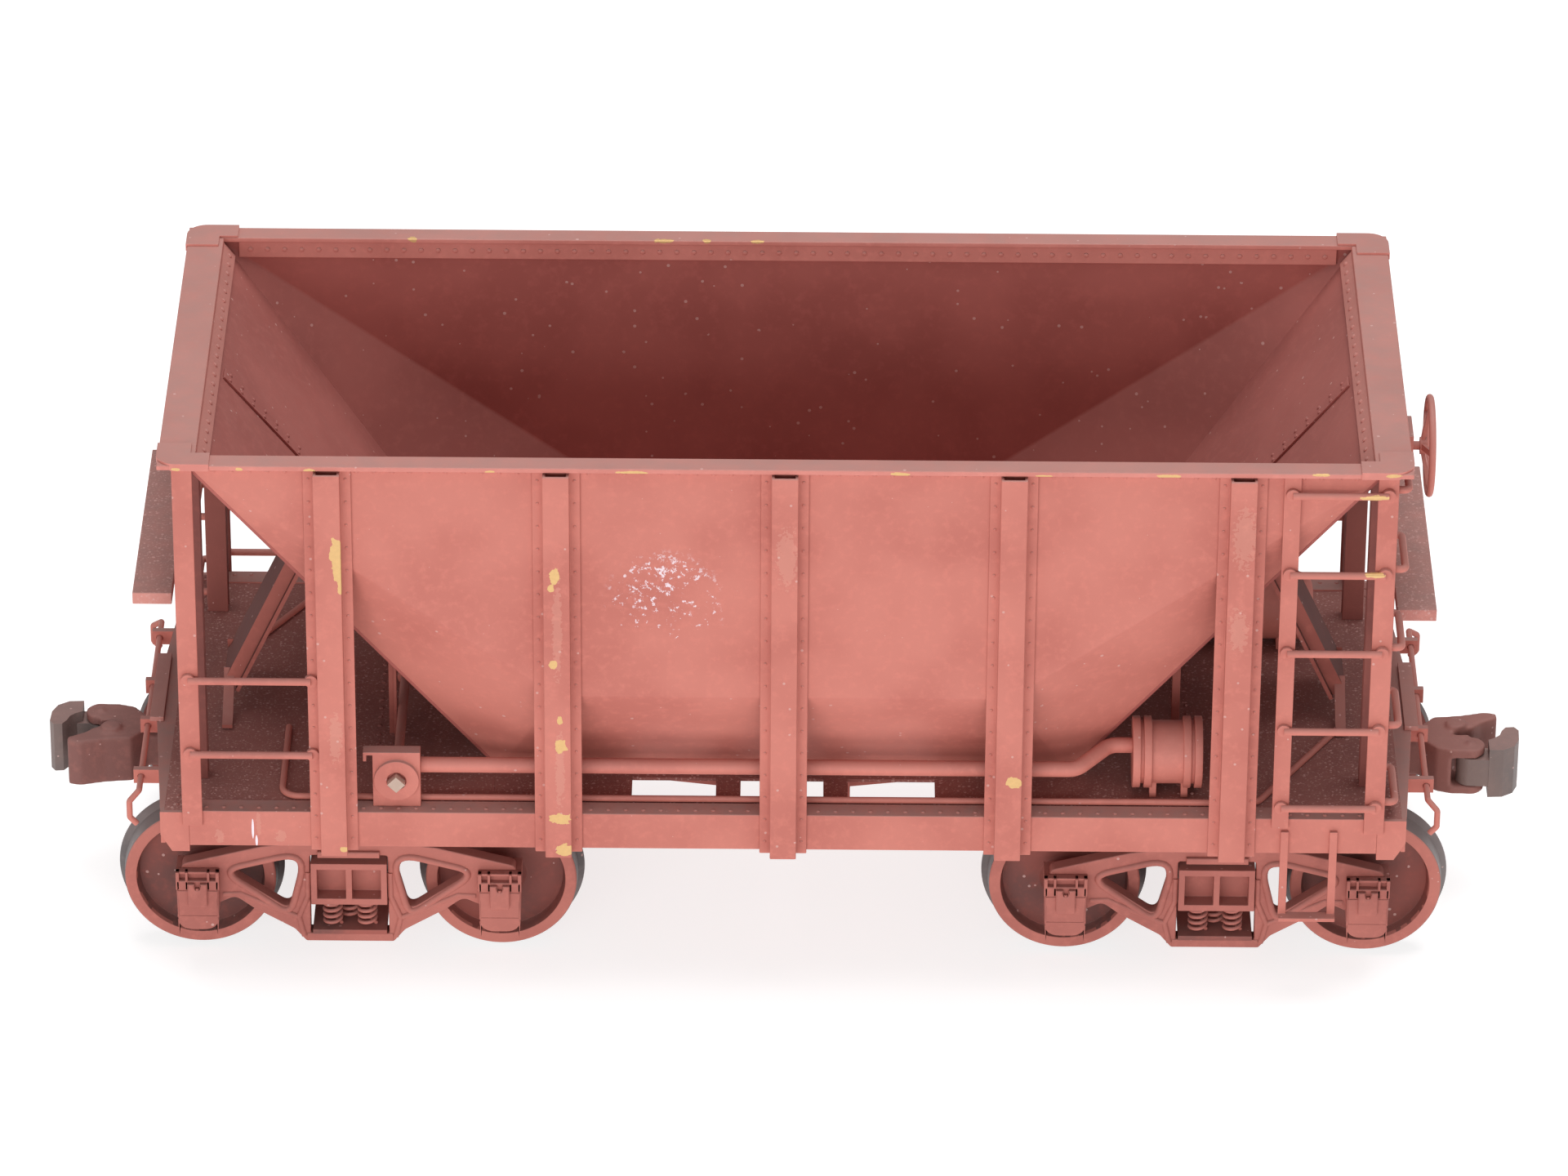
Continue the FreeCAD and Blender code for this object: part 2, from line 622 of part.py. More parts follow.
def end_sill():
    """Tapered end channel with a plate at each corner and eyes for the uncoupling lever."""
    half = END_PLATE_Y
    outer = [(END_SILL_CORNER_X, -half), (END_SILL_X, -END_SILL_FLAT),
             (END_SILL_X, END_SILL_FLAT), (END_SILL_CORNER_X, half)]
    inner = [(END_SILL_CORNER_X - SILL_PLATE, half), (END_SILL_X - SILL_PLATE, END_SILL_FLAT),
             (END_SILL_X - SILL_PLATE, -END_SILL_FLAT), (END_SILL_CORNER_X - SILL_PLATE, -half)]
    web = prism_z(outer + inner, SILL_BOTTOM, DECK_TOP)
    flange = prism_z(outer + [(END_FLANGE_X, half), (END_FLANGE_X, -half)], DECK_UNDER, DECK_TOP)
    plate_low = SILL_BOTTOM - CORNER_PLATE_DROP
    outline = [(SILL_HALF_LENGTH, plate_low), (END_SILL_CORNER_X - CORNER_CUT_X, plate_low),
               (END_SILL_CORNER_X, plate_low + CORNER_CUT_Z), (END_SILL_CORNER_X, DECK_TOP),
               (SILL_HALF_LENGTH, DECK_TOP)]
    corner = prism_y(outline, -FACE_Y, -half)
    return [fused([web, flange]), corner, mirror_y(corner)]


def lever_eye(y):
    """Lug on the end sill with a hole for the uncoupling lever."""
    reach = LEVER_X + LEVER_R + 0.5
    root = END_SILL_X if abs(y) < END_SILL_FLAT else END_SILL_CORNER_X + (
        (END_SILL_X - END_SILL_CORNER_X) * (END_PLATE_Y - abs(y)) / (END_PLATE_Y - END_SILL_FLAT))
    lug = box(root - 0.2, reach, y - 0.4, y + 0.4, LEVER_Z - 0.9, LEVER_Z + 0.9)
    return lug.cut(rod_y(LEVER_R + RUN_GAP, y - 1, y + 1, LEVER_X, LEVER_Z))


eye_ys = (-16.0, -4.5, 4.5, 16.0)
sill, *sill_plates = end_sill()
right_sill = [fused([sill] + [lever_eye(y) for y in eye_ys])] + sill_plates
save("end_sills", right_sill + [turned(shape) for shape in right_sill])


def deck_end():
    out_y = DECK_OUT_Y
    half = END_PLATE_Y
    outline = [(DECK_IN_X, -out_y), (SILL_HALF_LENGTH, -out_y), (SILL_HALF_LENGTH, -half),
               (END_FLANGE_X, -half), (END_FLANGE_X, half), (SILL_HALF_LENGTH, half),
               (SILL_HALF_LENGTH, out_y), (DECK_IN_X, out_y)]
    return prism_z(outline, DECK_UNDER, DECK_TOP)


save("deck_ends", [deck_end(), turned(deck_end())])


def walkway():
    """Deck strip beside the hopper, with the long slot and its cross bars."""
    plate = box(-DECK_IN_X, DECK_IN_X, -DECK_OUT_Y, -DECK_IN_Y, DECK_UNDER, DECK_TOP)
    edges = [-SLOT_HALF_LENGTH]
    for x in CROSS_TIE_X:
        edges += [x - CROSS_TIE_WIDTH / 2, x + CROSS_TIE_WIDTH / 2]
    edges.append(SLOT_HALF_LENGTH)
    for x0, x1 in zip(edges[0::2], edges[1::2]):
        plate = plate.cut(box(x0, x1, -SLOT_OUT_Y, -SLOT_IN_Y, 0, BIG))
    return plate


save("deck_walkways", [walkway(), mirror_y(walkway())])


def centre_sill():
    """Box girder under the deck, through the hopper, from draft box to draft box."""
    x1 = END_FLANGE_X
    half = CENTRE_SILL_HALF
    outer = box(-x1, x1, -half, half, CENTRE_SILL_BOTTOM, DECK_UNDER)
    inner = box(-x1, x1, -half + SILL_PLATE, half - SILL_PLATE,
                CENTRE_SILL_BOTTOM + SILL_PLATE, DECK_UNDER - SILL_PLATE)
    girder = outer.cut(inner)
    low_z = OUTLET_Z - 1.0
    for sx in (-1, 1):
        zone = box(sx * (OUTLET_X - 1.0), sx * DECK_IN_X, -BIG, BIG, low_z, BIG)
        girder = girder.cut(zone)
    middle = box(-OUTLET_X + 1.0, OUTLET_X - 1.0, -BIG, BIG, RIDGE_FOOT + 0.4, BIG)
    return girder.cut(middle)


save("centre_sill", [centre_sill()])


def body_bolster():
    """Two tapered arms and, under the centre sill, the centre plate with its king pin."""
    arm = prism_x([(-CENTRE_SILL_HALF, CENTRE_SILL_BOTTOM), (-CENTRE_SILL_HALF, DECK_UNDER),
                   (-DECK_OUT_Y, DECK_UNDER), (-DECK_OUT_Y, DECK_UNDER - 1.8)],
                  TRUCK_X - 2.2, TRUCK_X + 2.2)
    plate_low = BOWL_TOP + CENTRE_PLATE_GAP
    plate = rod_z(BOWL_R - 0.3, plate_low, CENTRE_SILL_BOTTOM, TRUCK_X, 0)
    pin = rod_z(KING_PIN_R, BOLSTER_BOTTOM + 1.5, plate_low + 0.1, TRUCK_X, 0)
    return [arm, mirror_y(arm), fused([plate, pin])]


bolsters = body_bolster()
save("body_bolsters", bolsters + [turned(shape) for shape in bolsters])


def cross_tie(x):
    """Channel, open upwards, from the side sill in under the outlet ledge."""
    half = CROSS_TIE_WIDTH / 2
    low = DECK_UNDER - CROSS_TIE_DEPTH
    in_y = EAR_IN_Y + EAR_PLATE + 0.3
    outer = box(x - half, x + half, -SILL_IN_Y, -in_y, low, DECK_UNDER)
    outer = outer.cut(box(-BIG, BIG, -DECK_IN_Y, 0, LEDGE_BOTTOM, BIG))
    outer = outer.cut(box(-BIG, BIG, -BIG, -DECK_OUT_Y, SILL_TOP - SILL_PLATE, BIG))
    wall = 0.4
    inner = box(x - half + wall, x + half - wall, -BIG, BIG, low + wall, BIG)
    return outer.cut(inner)


ties = [cross_tie(x) for x in CROSS_TIE_X]
save("cross_ties", ties + [mirror_y(tie) for tie in ties])


# ---- outlet and drop doors ------------------------------------------------
def hinge_ear(x):
    """Plate hanging from the ledge, with the door rod's hole."""
    low = DOOR_HINGE_Z - DOOR_ROD_R - 0.7
    plate = box(x - 1.2, x + 1.2, -EAR_IN_Y - EAR_PLATE, -EAR_IN_Y, low, LEDGE_BOTTOM)
    return plate.cut(rod_y(DOOR_ROD_R + RUN_GAP, -EAR_IN_Y - 1, -EAR_IN_Y + 1, x, DOOR_HINGE_Z))


def outlet_side():
    x1 = OUTLET_X
    ledge = box(-x1, x1, -OUTLET_Y, -LEDGE_IN_Y, LEDGE_BOTTOM, OUTLET_Z)
    return fused([ledge, hinge_ear(-DOOR_HINGE_X), hinge_ear(DOOR_HINGE_X)])


def outlet_end():
    """Short ledge across the end of the outlet, on one side of the centre sill."""
    return box(OUTLET_X - 1.4, OUTLET_X, -LEDGE_IN_Y, -DOOR_INNER_Y, LEDGE_BOTTOM, OUTLET_Z)


save("outlet_frame", [outlet_side(), mirror_y(outlet_side())] + four_corners(outlet_end()))


def drop_door():
    """Right-hand door: a leaf on each side of the centre sill, on one hinge rod."""
    low = DOOR_TOP - DOOR_PLATE
    parts = [rod_y(DOOR_ROD_R, -EAR_IN_Y - EAR_PLATE, EAR_IN_Y + EAR_PLATE, DOOR_HINGE_X, DOOR_HINGE_Z)]
    for side in (-1, 1):
        parts.append(box(DOOR_HINGE_X + 0.4, DOOR_TIP_X, side * DOOR_INNER_Y, side * DOOR_HALF_WIDTH,
                         low, DOOR_TOP))
        for y in (DOOR_INNER_Y + 0.4, DOOR_HALF_WIDTH - 1.2):
            outline = [(DOOR_HINGE_X - 0.3, DOOR_HINGE_Z), (DOOR_HINGE_X + 0.9, DOOR_HINGE_Z - 0.2),
                       (DOOR_TIP_X - 3.0, low - 0.6), (DOOR_TIP_X - 3.0, low),
                       (DOOR_HINGE_X + 0.5, low)]
            parts.append(prism_y(outline, side * y, side * (y + 0.8)))
    return fused(parts)


save("drop_door_right", [drop_door()])
save("drop_door_left", [turned(drop_door())])


# ---- braces and stanchions ------------------------------------------------
def slope_brace():
    """Channel from the deck up to the slope sheet, open towards the hopper."""
    foot = V(BRACE_FOOT_X, 0, DECK_TOP)
    head = V(BRACE_HEAD_X, 0, BRACE_HEAD_Z)
    way = (head - foot).normalize()
    across = V(way.z, 0, -way.x)
    half = BRACE_WIDTH / 2
    depth = BRACE_DEPTH
    plate = BRACE_PLATE
    outline = [(-half, 0), (half, 0), (half, -depth), (half - plate, -depth),
               (half - plate, -plate), (-half + plate, -plate), (-half + plate, -depth),
               (-half, -depth)]
    start = foot - way * 4
    points = [start + across * d + V(0, y, 0) for y, d in outline]
    channel = prism(points, way * 60)
    channel = channel.cut(box(-BIG, BIG, -BIG, BIG, 0, DECK_TOP))
    return channel.cut(hopper_out)


def stanchion(y):
    """Angle upright between the deck and the slope sheet."""
    x0 = STANCHION_X - STANCHION_WIDTH / 2
    outer = box(x0, x0 + STANCHION_WIDTH, y, y + STANCHION_WIDTH, DECK_TOP, RIM_UNDER)
    hollow = box(x0 + STANCHION_PLATE, BIG, y + STANCHION_PLATE, BIG, 0, BIG)
    return outer.cut(hollow).cut(hopper_out)


def lower_solid(shape):
    """Drop any piece cut off above the hopper."""
    return min(shape.Solids, key=lambda solid: solid.BoundBox.ZMin)


brace = lower_solid(slope_brace())
save("slope_braces", [brace, turned(brace)])
uprights = [lower_solid(stanchion(y)) for y in (-STANCHION_Y, STANCHION_Y - STANCHION_WIDTH)]
save("slope_stanchions", uprights + [turned(shape) for shape in uprights])


# ---- ladders, grab irons, steps, boards -----------------------------------
def rung_x(x0, x1, seat0, seat1, z):
    """Round rung along X, with a flattened pad at each end."""
    y = -(max(seat0, seat1) + RUNG_R + 0.1)
    bar = rod_x(RUNG_R, x0, x1, y, z)
    pad0 = rod_y(PAD_R, y, -seat0, x0, z)
    pad1 = rod_y(PAD_R, y, -seat1, x1, z)
    return fused([bar, pad0, pad1])


def side_ladder():
    """Stile and five rungs between it and the corner post."""
    stile = box(LADDER_X - STILE_WIDTH / 2, LADDER_X + STILE_WIDTH / 2, -STILE_FACE, -FACE_Y,
                SILL_TOP - 1.0, RIM_UNDER)
    corner = CORNER_POST_X - CORNER_POST_WIDTH / 2
    return [stile] + [rung_x(LADDER_X, corner, STILE_FACE, POST_OUT_Y, z) for z in RUNG_LEVELS]


def side_grabs():
    """Two grab irons between the other corner post and the first side post."""
    corner = CORNER_POST_X - CORNER_POST_WIDTH / 2
    post = post_xs[-1] + POST_WEB / 2 + PAD_R + 0.02
    return [mirror_x(rung_x(post, corner, POST_OUT_Y, POST_OUT_Y, z)) for z in GRAB_LEVELS]


side_irons = side_ladder() + side_grabs()
save("side_ladders", side_irons + [turned(shape) for shape in side_irons])


def end_rung(z):
    """Grab iron standing off the end of the car, from the corner post to the end post."""
    y0 = -FACE_Y + RUNG_R + 0.2
    y1 = -END_POST_Y
    x = CORNER_POST_X + END_GRAB_STANDOFF
    return tube([(CORNER_POST_X, y0, z), (x, y0, z), (x, y1, z), (CORNER_POST_X, y1, z)],
                RUNG_R, 0.6)


end_irons = [end_rung(z) for z in RUNG_LEVELS]
save("end_grab_irons", end_irons + [turned(shape) for shape in end_irons])


def end_board():
    """Running board across the end, on two brackets from the end posts."""
    low = BOARD_TOP - BOARD_PLATE
    board = box(BOARD_X, BOARD_X + BOARD_WIDTH, -BOARD_HALF_LENGTH, BOARD_HALF_LENGTH, low, BOARD_TOP)
    deep = low - BRACKET_DEPTH
    arms = []
    for side in (-1, 1):
        outline = [(CORNER_POST_X, low), (BOARD_X + BOARD_WIDTH / 2, low), (BOARD_X, deep),
                   (CORNER_POST_X, deep)]
        tail = prism_y(outline, side * BRACKET_Y, side * (BRACKET_Y + BRACKET_PLATE))
        tab = box(CORNER_POST_X, CORNER_POST_X + BRACKET_PLATE, side * BRACKET_Y, side * END_POST_Y,
                  deep, low)
        arms.append(fused([tail, tab]))
    return [board] + arms


board_pieces = end_board()
save("end_boards", board_pieces + [turned(shape) for shape in board_pieces])


def stirrup_step():
    """Flat strap bent to a U, soldered to the side sill."""
    y0 = -FACE_Y - STEP_PLATE
    legs = []
    for sx in (-1, 1):
        x0 = STEP_X + sx * STEP_HALF
        legs.append(box(x0, x0 - sx * STEP_STRAP, y0, -FACE_Y, STEP_BOTTOM, SILL_TOP - 1.5))
    tread = box(STEP_X - STEP_HALF, STEP_X + STEP_HALF, -FACE_Y - STEP_TREAD, -FACE_Y,
                STEP_BOTTOM, STEP_BOTTOM + STEP_PLATE)
    return fused(legs + [tread])


step = stirrup_step()
save("stirrup_steps", [step, turned(step), mirror_y(step)])


# ---- air brake ------------------------------------------------------------
def vessel_feet(x0, length, y, r, z):
    """Two saddles under a round vessel."""
    feet = []
    for x in (x0 + length * 0.25, x0 + length * 0.7):
        foot = box(x, x + 0.8, y - r * 0.7, y + r * 0.7, DECK_TOP, z)
        feet.append(foot.cut(rod_x(r, x - 1, x + 2, y, z)))
    return feet


cylinder_z = CYLINDER_Z
cylinder_end = CYLINDER_X + CYLINDER_LENGTH
body = [rod_x(CYLINDER_R, CYLINDER_X, cylinder_end, CYLINDER_Y, cylinder_z)]
for x in (CYLINDER_X, CYLINDER_X + 1.3, cylinder_end - 2.2, cylinder_end - CYLINDER_FLANGE):
    body.append(rod_x(CYLINDER_FLANGE_R, x, x + CYLINDER_FLANGE, CYLINDER_Y, cylinder_z))
cylinder_feet = vessel_feet(CYLINDER_X, CYLINDER_LENGTH, CYLINDER_Y, CYLINDER_R, cylinder_z)
save("brake_cylinder", [fused(body + cylinder_feet)])

tank_z = DECK_TOP + SEAT_HEIGHT + RESERVOIR_R
tank_end = RESERVOIR_X + RESERVOIR_LENGTH
tank = rod_x(RESERVOIR_R, RESERVOIR_X, tank_end, RESERVOIR_Y, tank_z)
rims = [edge for edge in tank.Edges if edge.Curve.TypeId == "Part::GeomCircle"]
tank = tank.makeFillet(RESERVOIR_R * 0.45, rims)
tank_feet = vessel_feet(RESERVOIR_X, RESERVOIR_LENGTH, RESERVOIR_Y, RESERVOIR_R, tank_z)
save("air_reservoir", [fused([tank] + tank_feet)])

bearing_x = SHAFT_X + BEARING_WIDTH / 2
save("air_pipe", [tube([(bearing_x, AIR_PIPE_Y, AIR_PIPE_Z), (CYLINDER_X - 6.5, AIR_PIPE_Y, AIR_PIPE_Z),
                        (CYLINDER_X - 2.6, CYLINDER_Y - 0.3, cylinder_z + 1.0),
                        (CYLINDER_X, CYLINDER_Y - 0.3, cylinder_z + 1.0)], AIR_PIPE_R, 2.2)])
line_z = DECK_TOP + TRAIN_LINE_R
front_line = [(LINE_LEFT, LINE_IN_Y, line_z), (LINE_LEFT, TRAIN_LINE_Y, line_z),
              (LINE_RIGHT, TRAIN_LINE_Y, line_z), (LINE_END, -LINE_END_Y, line_z)]
back_line = [(LINE_BACK, -TRAIN_LINE_Y, line_z), (-LINE_RIGHT, -TRAIN_LINE_Y, line_z),
             (-LINE_END, LINE_END_Y, line_z)]
save("train_line", [tube(line, TRAIN_LINE_R, 2.0) for line in (front_line, back_line)])


# ---- winding shaft --------------------------------------------------------
def bearing():
    """Front upright plate on the side sill, with a round boss and an angle across its top."""
    x0 = SHAFT_X - BEARING_WIDTH / 2
    bar_x = x0 - BEARING_BAR_REACH
    plate = box(x0, x0 + BEARING_WIDTH, -BEARING_OUT_Y, -BEARING_IN_Y, SILL_TOP, BEARING_TOP)
    boss = rod_y(BEARING_BOSS_R, -BEARING_FACE_Y, -BEARING_OUT_Y, SHAFT_X, SHAFT_Z)
    bar = box(bar_x, x0 + BEARING_WIDTH, -BEARING_OUT_Y, -BEARING_IN_Y + BEARING_BAR, BEARING_TOP,
              BEARING_TOP + BEARING_BAR)
    lug = box(bar_x, bar_x + BEARING_BAR, -BEARING_OUT_Y, -BEARING_IN_Y,
              BEARING_TOP - 2 * BEARING_BAR, BEARING_TOP)
    bore = rod_y(SHAFT_R + RUN_GAP, -BIG, BIG, SHAFT_X, SHAFT_Z)
    recess = rod_y(BEARING_RECESS_R, -BEARING_FACE_Y, -BEARING_FACE_Y + BEARING_RECESS, SHAFT_X, SHAFT_Z)
    return fused([plate, boss, bar, lug]).cut(bore).cut(recess)


save("shaft_bearings", [bearing(), mirror_y(bearing())])


def winding_shaft():
    """Shaft across the car with a square at the front end and two chain drums in the middle."""
    shaft = rod_y(SHAFT_R, -SHAFT_FRONT_Y, SHAFT_FRONT_Y, SHAFT_X, SHAFT_Z)
    square = box(-SHAFT_SQUARE / 2, SHAFT_SQUARE / 2, -SHAFT_SQUARE_END, -SHAFT_FRONT_Y,
                 -SHAFT_SQUARE / 2, SHAFT_SQUARE / 2)
    square.rotate(V(0, 0, 0), V(0, 1, 0), 45)
    drums = []
    for side in (-1, 1):
        middle = side * DRUM_Y
        drums.append(rod_y(DRUM_R, middle - DRUM_LENGTH / 2, middle + DRUM_LENGTH / 2, SHAFT_X, SHAFT_Z))
    return fused([shaft, moved(square, SHAFT_X, 0, SHAFT_Z)] + drums)


save("winding_shaft", [winding_shaft()])


# ---- couplers -------------------------------------------------------------
def draft_box():
    """Pocket under the centre sill, open outwards, with the coupler's pivot pin."""
    low = COUPLER_Z - SHANK_HALF_HEIGHT - DRAFT_GAP - DRAFT_BOX_PLATE
    high = COUPLER_Z + SHANK_HALF_HEIGHT + DRAFT_GAP
    half = DRAFT_BOX_HALF_WIDTH
    outer = box(DRAFT_BOX_X, DRAFT_BOX_MOUTH_X, -half, half, low, DRAFT_BOX_TOP)
    inner = box(DRAFT_BOX_X + DRAFT_BOX_PLATE, BIG, -half + DRAFT_BOX_PLATE, half - DRAFT_BOX_PLATE,
                low + DRAFT_BOX_PLATE, high)
    pin = rod_z(COUPLER_PIN_R, low + 0.1, high + 0.1, COUPLER_PIVOT_X, 0)
    return fused([outer.cut(inner), pin])


save("draft_boxes", [draft_box(), turned(draft_box())])
buffer_plate = box(BUFFER_X - BUFFER_WIDTH, BUFFER_X, -BUFFER_HALF_WIDTH, BUFFER_HALF_WIDTH,
                   DECK_TOP, DECK_TOP + BUFFER_PLATE)
save("buffer_plates", [buffer_plate, turned(buffer_plate)])

lug_low = HEAD_HALF_HEIGHT - KNUCKLE_LUG


def coupler():
    """Shank and head of the right coupler; the knuckle hangs between two lugs."""
    z = COUPLER_Z
    x_pin = COUPLER_PIVOT_X
    shank = box(x_pin, x_pin + 12.0, -SHANK_HALF_WIDTH, SHANK_HALF_WIDTH, z - SHANK_HALF_HEIGHT,
                z + SHANK_HALF_HEIGHT)
    tail = rod_z(SHANK_HALF_WIDTH, z - SHANK_HALF_HEIGHT, z + SHANK_HALF_HEIGHT, x_pin, 0)
    outline = [(10.8, 1.6), (12.4, 3.5), (15.5, 3.9), (18.4, 4.7), (19.8, 4.4), (19.9, 3.4),
               (18, 2.3), (16.9, 1.1), (14.9, 0.3), (14.2, -0.6), (14.2, -4.3), (12.4, -3.7),
               (10.8, -1.6)]
    head = moved(prism_z(outline, z - HEAD_HALF_HEIGHT, z + HEAD_HALF_HEIGHT), x_pin)
    lugs = []
    px = KNUCKLE_PIVOT_X
    py = KNUCKLE_PIVOT_Y
    for side in (-1, 1):
        z0 = min(z + side * lug_low, z + side * HEAD_HALF_HEIGHT)
        lug = rod_z(1.7, z0, z0 + KNUCKLE_LUG, px, py)
        arm = box(x_pin + 14.1, px, py - 1.6, py + 2.2, z0, z0 + KNUCKLE_LUG)
        lugs += [lug, arm]
    pin = rod_z(KNUCKLE_PIN_R, z - HEAD_HALF_HEIGHT, z + HEAD_HALF_HEIGHT + 0.3, px, py)
    boss = rod_z(1.15, z - HEAD_HALF_HEIGHT - 0.7, z + HEAD_HALF_HEIGHT + 0.5, x_pin + 14.9, 1.4)
    whole = fused([shank, tail, head, pin, boss] + lugs)
    return whole.cut(rod_z(COUPLER_PIN_R + RUN_GAP, 0, BIG, x_pin, 0))


def knuckle():
    """Hooked jaw of the right coupler, full height only beyond the lugs."""
    z = COUPLER_Z
    px = KNUCKLE_PIVOT_X
    py = KNUCKLE_PIVOT_Y
    hub_half = lug_low - KNUCKLE_GAP
    hub = rod_z(1.6, z - hub_half, z + hub_half, px, py)
    neck = prism_z([(px, py - 1.6), (px + 2.8, py - 1.8), (px + 2.8, py + 1.1), (px + 1.2, py + 1.0)],
                   z - hub_half, z + hub_half)
    outline = [(2.1, -4.5), (3.8, -4.4), (5.1, -3.5), (5.7, -2.0), (5.8, 0.1), (5.3, 0.9),
               (4.3, 0.8), (3.8, 0.0), (3.5, -1.0), (2.8, -1.7), (2.1, -2.1)]
    jaw = moved(prism_z(outline, z - KNUCKLE_HALF_HEIGHT, z + KNUCKLE_HALF_HEIGHT), px)
    whole = fused([hub, neck, jaw])
    return whole.cut(rod_z(KNUCKLE_PIN_R + RUN_GAP, 0, BIG, px, py))


save("coupler_right", [coupler()])
save("coupler_left", [turned(coupler())])
save("knuckle_right", [knuckle()])
save("knuckle_left", [turned(knuckle())])


def uncoupling_lever():
    """Round bar across the end sill with a hanging handle at each end."""
    x = LEVER_X
    z = LEVER_Z
    end = []
    for side in (-1, 1):
        y = side * (LEVER_HALF + 0.8)
        end.append([(x + 0.3, y, z - LEVER_DROP), (x + 1.1, y, z - LEVER_DROP + 0.9),
                    (x + 1.1, y, z - 1.0), (x, side * LEVER_HALF, z)])
    return tube(end[0] + end[1][::-1], LEVER_R, 0.38)


lever = uncoupling_lever()
save("uncoupling_lever_right", [lever])
save("uncoupling_lever_left", [turned(lever)])


# ---- hand brake -----------------------------------------------------------
def brake_wheel():
    """Dished five-spoke wheel on a short shaft, facing the car's end."""
    x = BRAKE_WHEEL_X
    rim = Part.makeTorus(BRAKE_WHEEL_R, BRAKE_WHEEL_RIM_R, V(x, 0, 0), V(1, 0, 0))
    hub = rod_x(1.0, x - BRAKE_WHEEL_DISH - 0.3, x - BRAKE_WHEEL_DISH + 0.5, 0, 0)
    pieces = [rim, hub, rod_x(BRAKE_SHAFT_R, BRAKE_BOX_X + 1.0, x - BRAKE_WHEEL_DISH + 0.6, 0, 0)]
    for i in range(BRAKE_SPOKES):
        spoke = prism_y([(x - BRAKE_WHEEL_DISH - 0.2, 0.6), (x - BRAKE_WHEEL_DISH + 0.2, 0.6),
                         (x + 0.2, BRAKE_WHEEL_R), (x - 0.2, BRAKE_WHEEL_R)], -0.35, 0.35)
        spoke.rotate(V(0, 0, 0), V(1, 0, 0), 360 / BRAKE_SPOKES * i)
        pieces.append(spoke)
    return moved(fused(pieces), 0, BRAKE_WHEEL_Y, BRAKE_WHEEL_Z)


save("brake_wheel", [brake_wheel()])


def brake_housing():
    """Gear box under the end chord on a strap, with the rod down to the deck."""
    half = BRAKE_BOX_SIZE / 2
    y = BRAKE_WHEEL_Y
    z = BRAKE_WHEEL_Z
    case = box(BRAKE_BOX_X, BRAKE_BOX_X + BRAKE_BOX_DEPTH, y - half, y + half, z - half, z + half)
    strap = box(BRAKE_BOX_X - 0.4, BRAKE_BOX_X, y - 1.0, y + 1.0, z - half, RIM_UNDER)
    rod_x_place = BRAKE_BOX_X + 0.7
    rod = rod_z(BRAKE_ROD_R, DECK_TOP, z - half + 0.2, rod_x_place, y)
    bore = rod_x(BRAKE_SHAFT_R + RUN_GAP, BRAKE_BOX_X + 0.8, BIG, y, z)
    return fused([case, strap, rod]).cut(bore)


save("brake_housing", [brake_housing()])


# ---- trucks ---------------------------------------------------------------
def both_trucks(name, shapes):
    save(name + "_left", [moved(shape, -TRUCK_X) for shape in shapes])
    save(name + "_right", [moved(shape, TRUCK_X) for shape in shapes])


def mirrored_outline(half):
    """Close a half outline, given from the bottom middle to the top middle, about x = 0."""
    return half + [(-x, z) for x, z in reversed(half) if x > 0]


def frame_window(half):
    """Rounded triangular opening of a side frame, as an outline."""
    return [(half * x, z) for x, z in ((6.8, 7.9), (5.4, 12.2), (7.3, 14.4), (12.9, 13.3), (13.4, 12.0))]


def grown(points, width):
    """The outline moved outwards by a width."""
    face = Part.Face(Part.makePolygon([V(x, 0, z) for x, z in points + points[:1]]))
    return face.makeOffset2D(width)


def side_frame():
    """Cast truss frame with spring window, two triangular openings and journal boxes."""
    half_base = WHEELBASE / 2
    lower = [(5.2, FRAME_BOTTOM), (6.5, 4.9), (10.4, 7.1), (12.5, 8.7), (13.6, 9.3), (15.1, 8.6)]
    upper = [(half_base + 1.9, 8.6), (half_base + 1.9, 13.6), (10.0, 15.8), (6.0, 16.5)]
    outline = mirrored_outline(lower + upper)
    frame = prism_y(outline, -FRAME_OUT_Y, -FRAME_IN_Y)
    parts = [frame]
    cuts = []
    for side in (-1, 1):
        window = frame_window(side)
        ring = grown(window, LIP_WIDTH).extrude(V(0, -(FRAME_OUT_Y + LIP - FRAME_IN_Y), 0))
        parts.append(moved(ring, 0, -FRAME_IN_Y))
        cuts.append(prism_y(window, -BIG, BIG))
        x = side * half_base
        width = JOURNAL_BOX_WIDTH / 2
        low = JOURNAL_BOX_BOTTOM
        journal = box(x - width, x + width, -JOURNAL_BOX_OUT_Y, -JOURNAL_BOX_IN_Y,
                      low + width * 0.5, JOURNAL_BOX_TOP)
        bottom = rod_y(width, -JOURNAL_BOX_OUT_Y, -JOURNAL_BOX_IN_Y, x, low + width)
        lid = box(x - 1.1, x + 1.1, -JOURNAL_BOX_OUT_Y - 0.45, -JOURNAL_BOX_OUT_Y,
                  JOURNAL_BOX_TOP - 4.2, JOURNAL_BOX_TOP - 0.9)
        parts += [journal, bottom, lid]
        cuts.append(rod_y(JOURNAL_R + RUN_GAP, -JOURNAL_END_Y - 0.2, 0, x, AXLE_Z))
    cuts.append(box(-WINDOW_HALF, WINDOW_HALF, -BIG, BIG, FRAME_SEAT, WINDOW_TOP))
    whole = fused(parts)
    for cut in cuts:
        whole = whole.cut(cut)
    return whole


frame_front = side_frame()
both_trucks("side_frames", [frame_front, mirror_y(frame_front)])
plank = box(-PLANK_HALF_WIDTH, PLANK_HALF_WIDTH, -PLANK_OUT_Y, PLANK_OUT_Y, FRAME_SEAT, PLANK_TOP)
both_trucks("spring_plank", [plank])


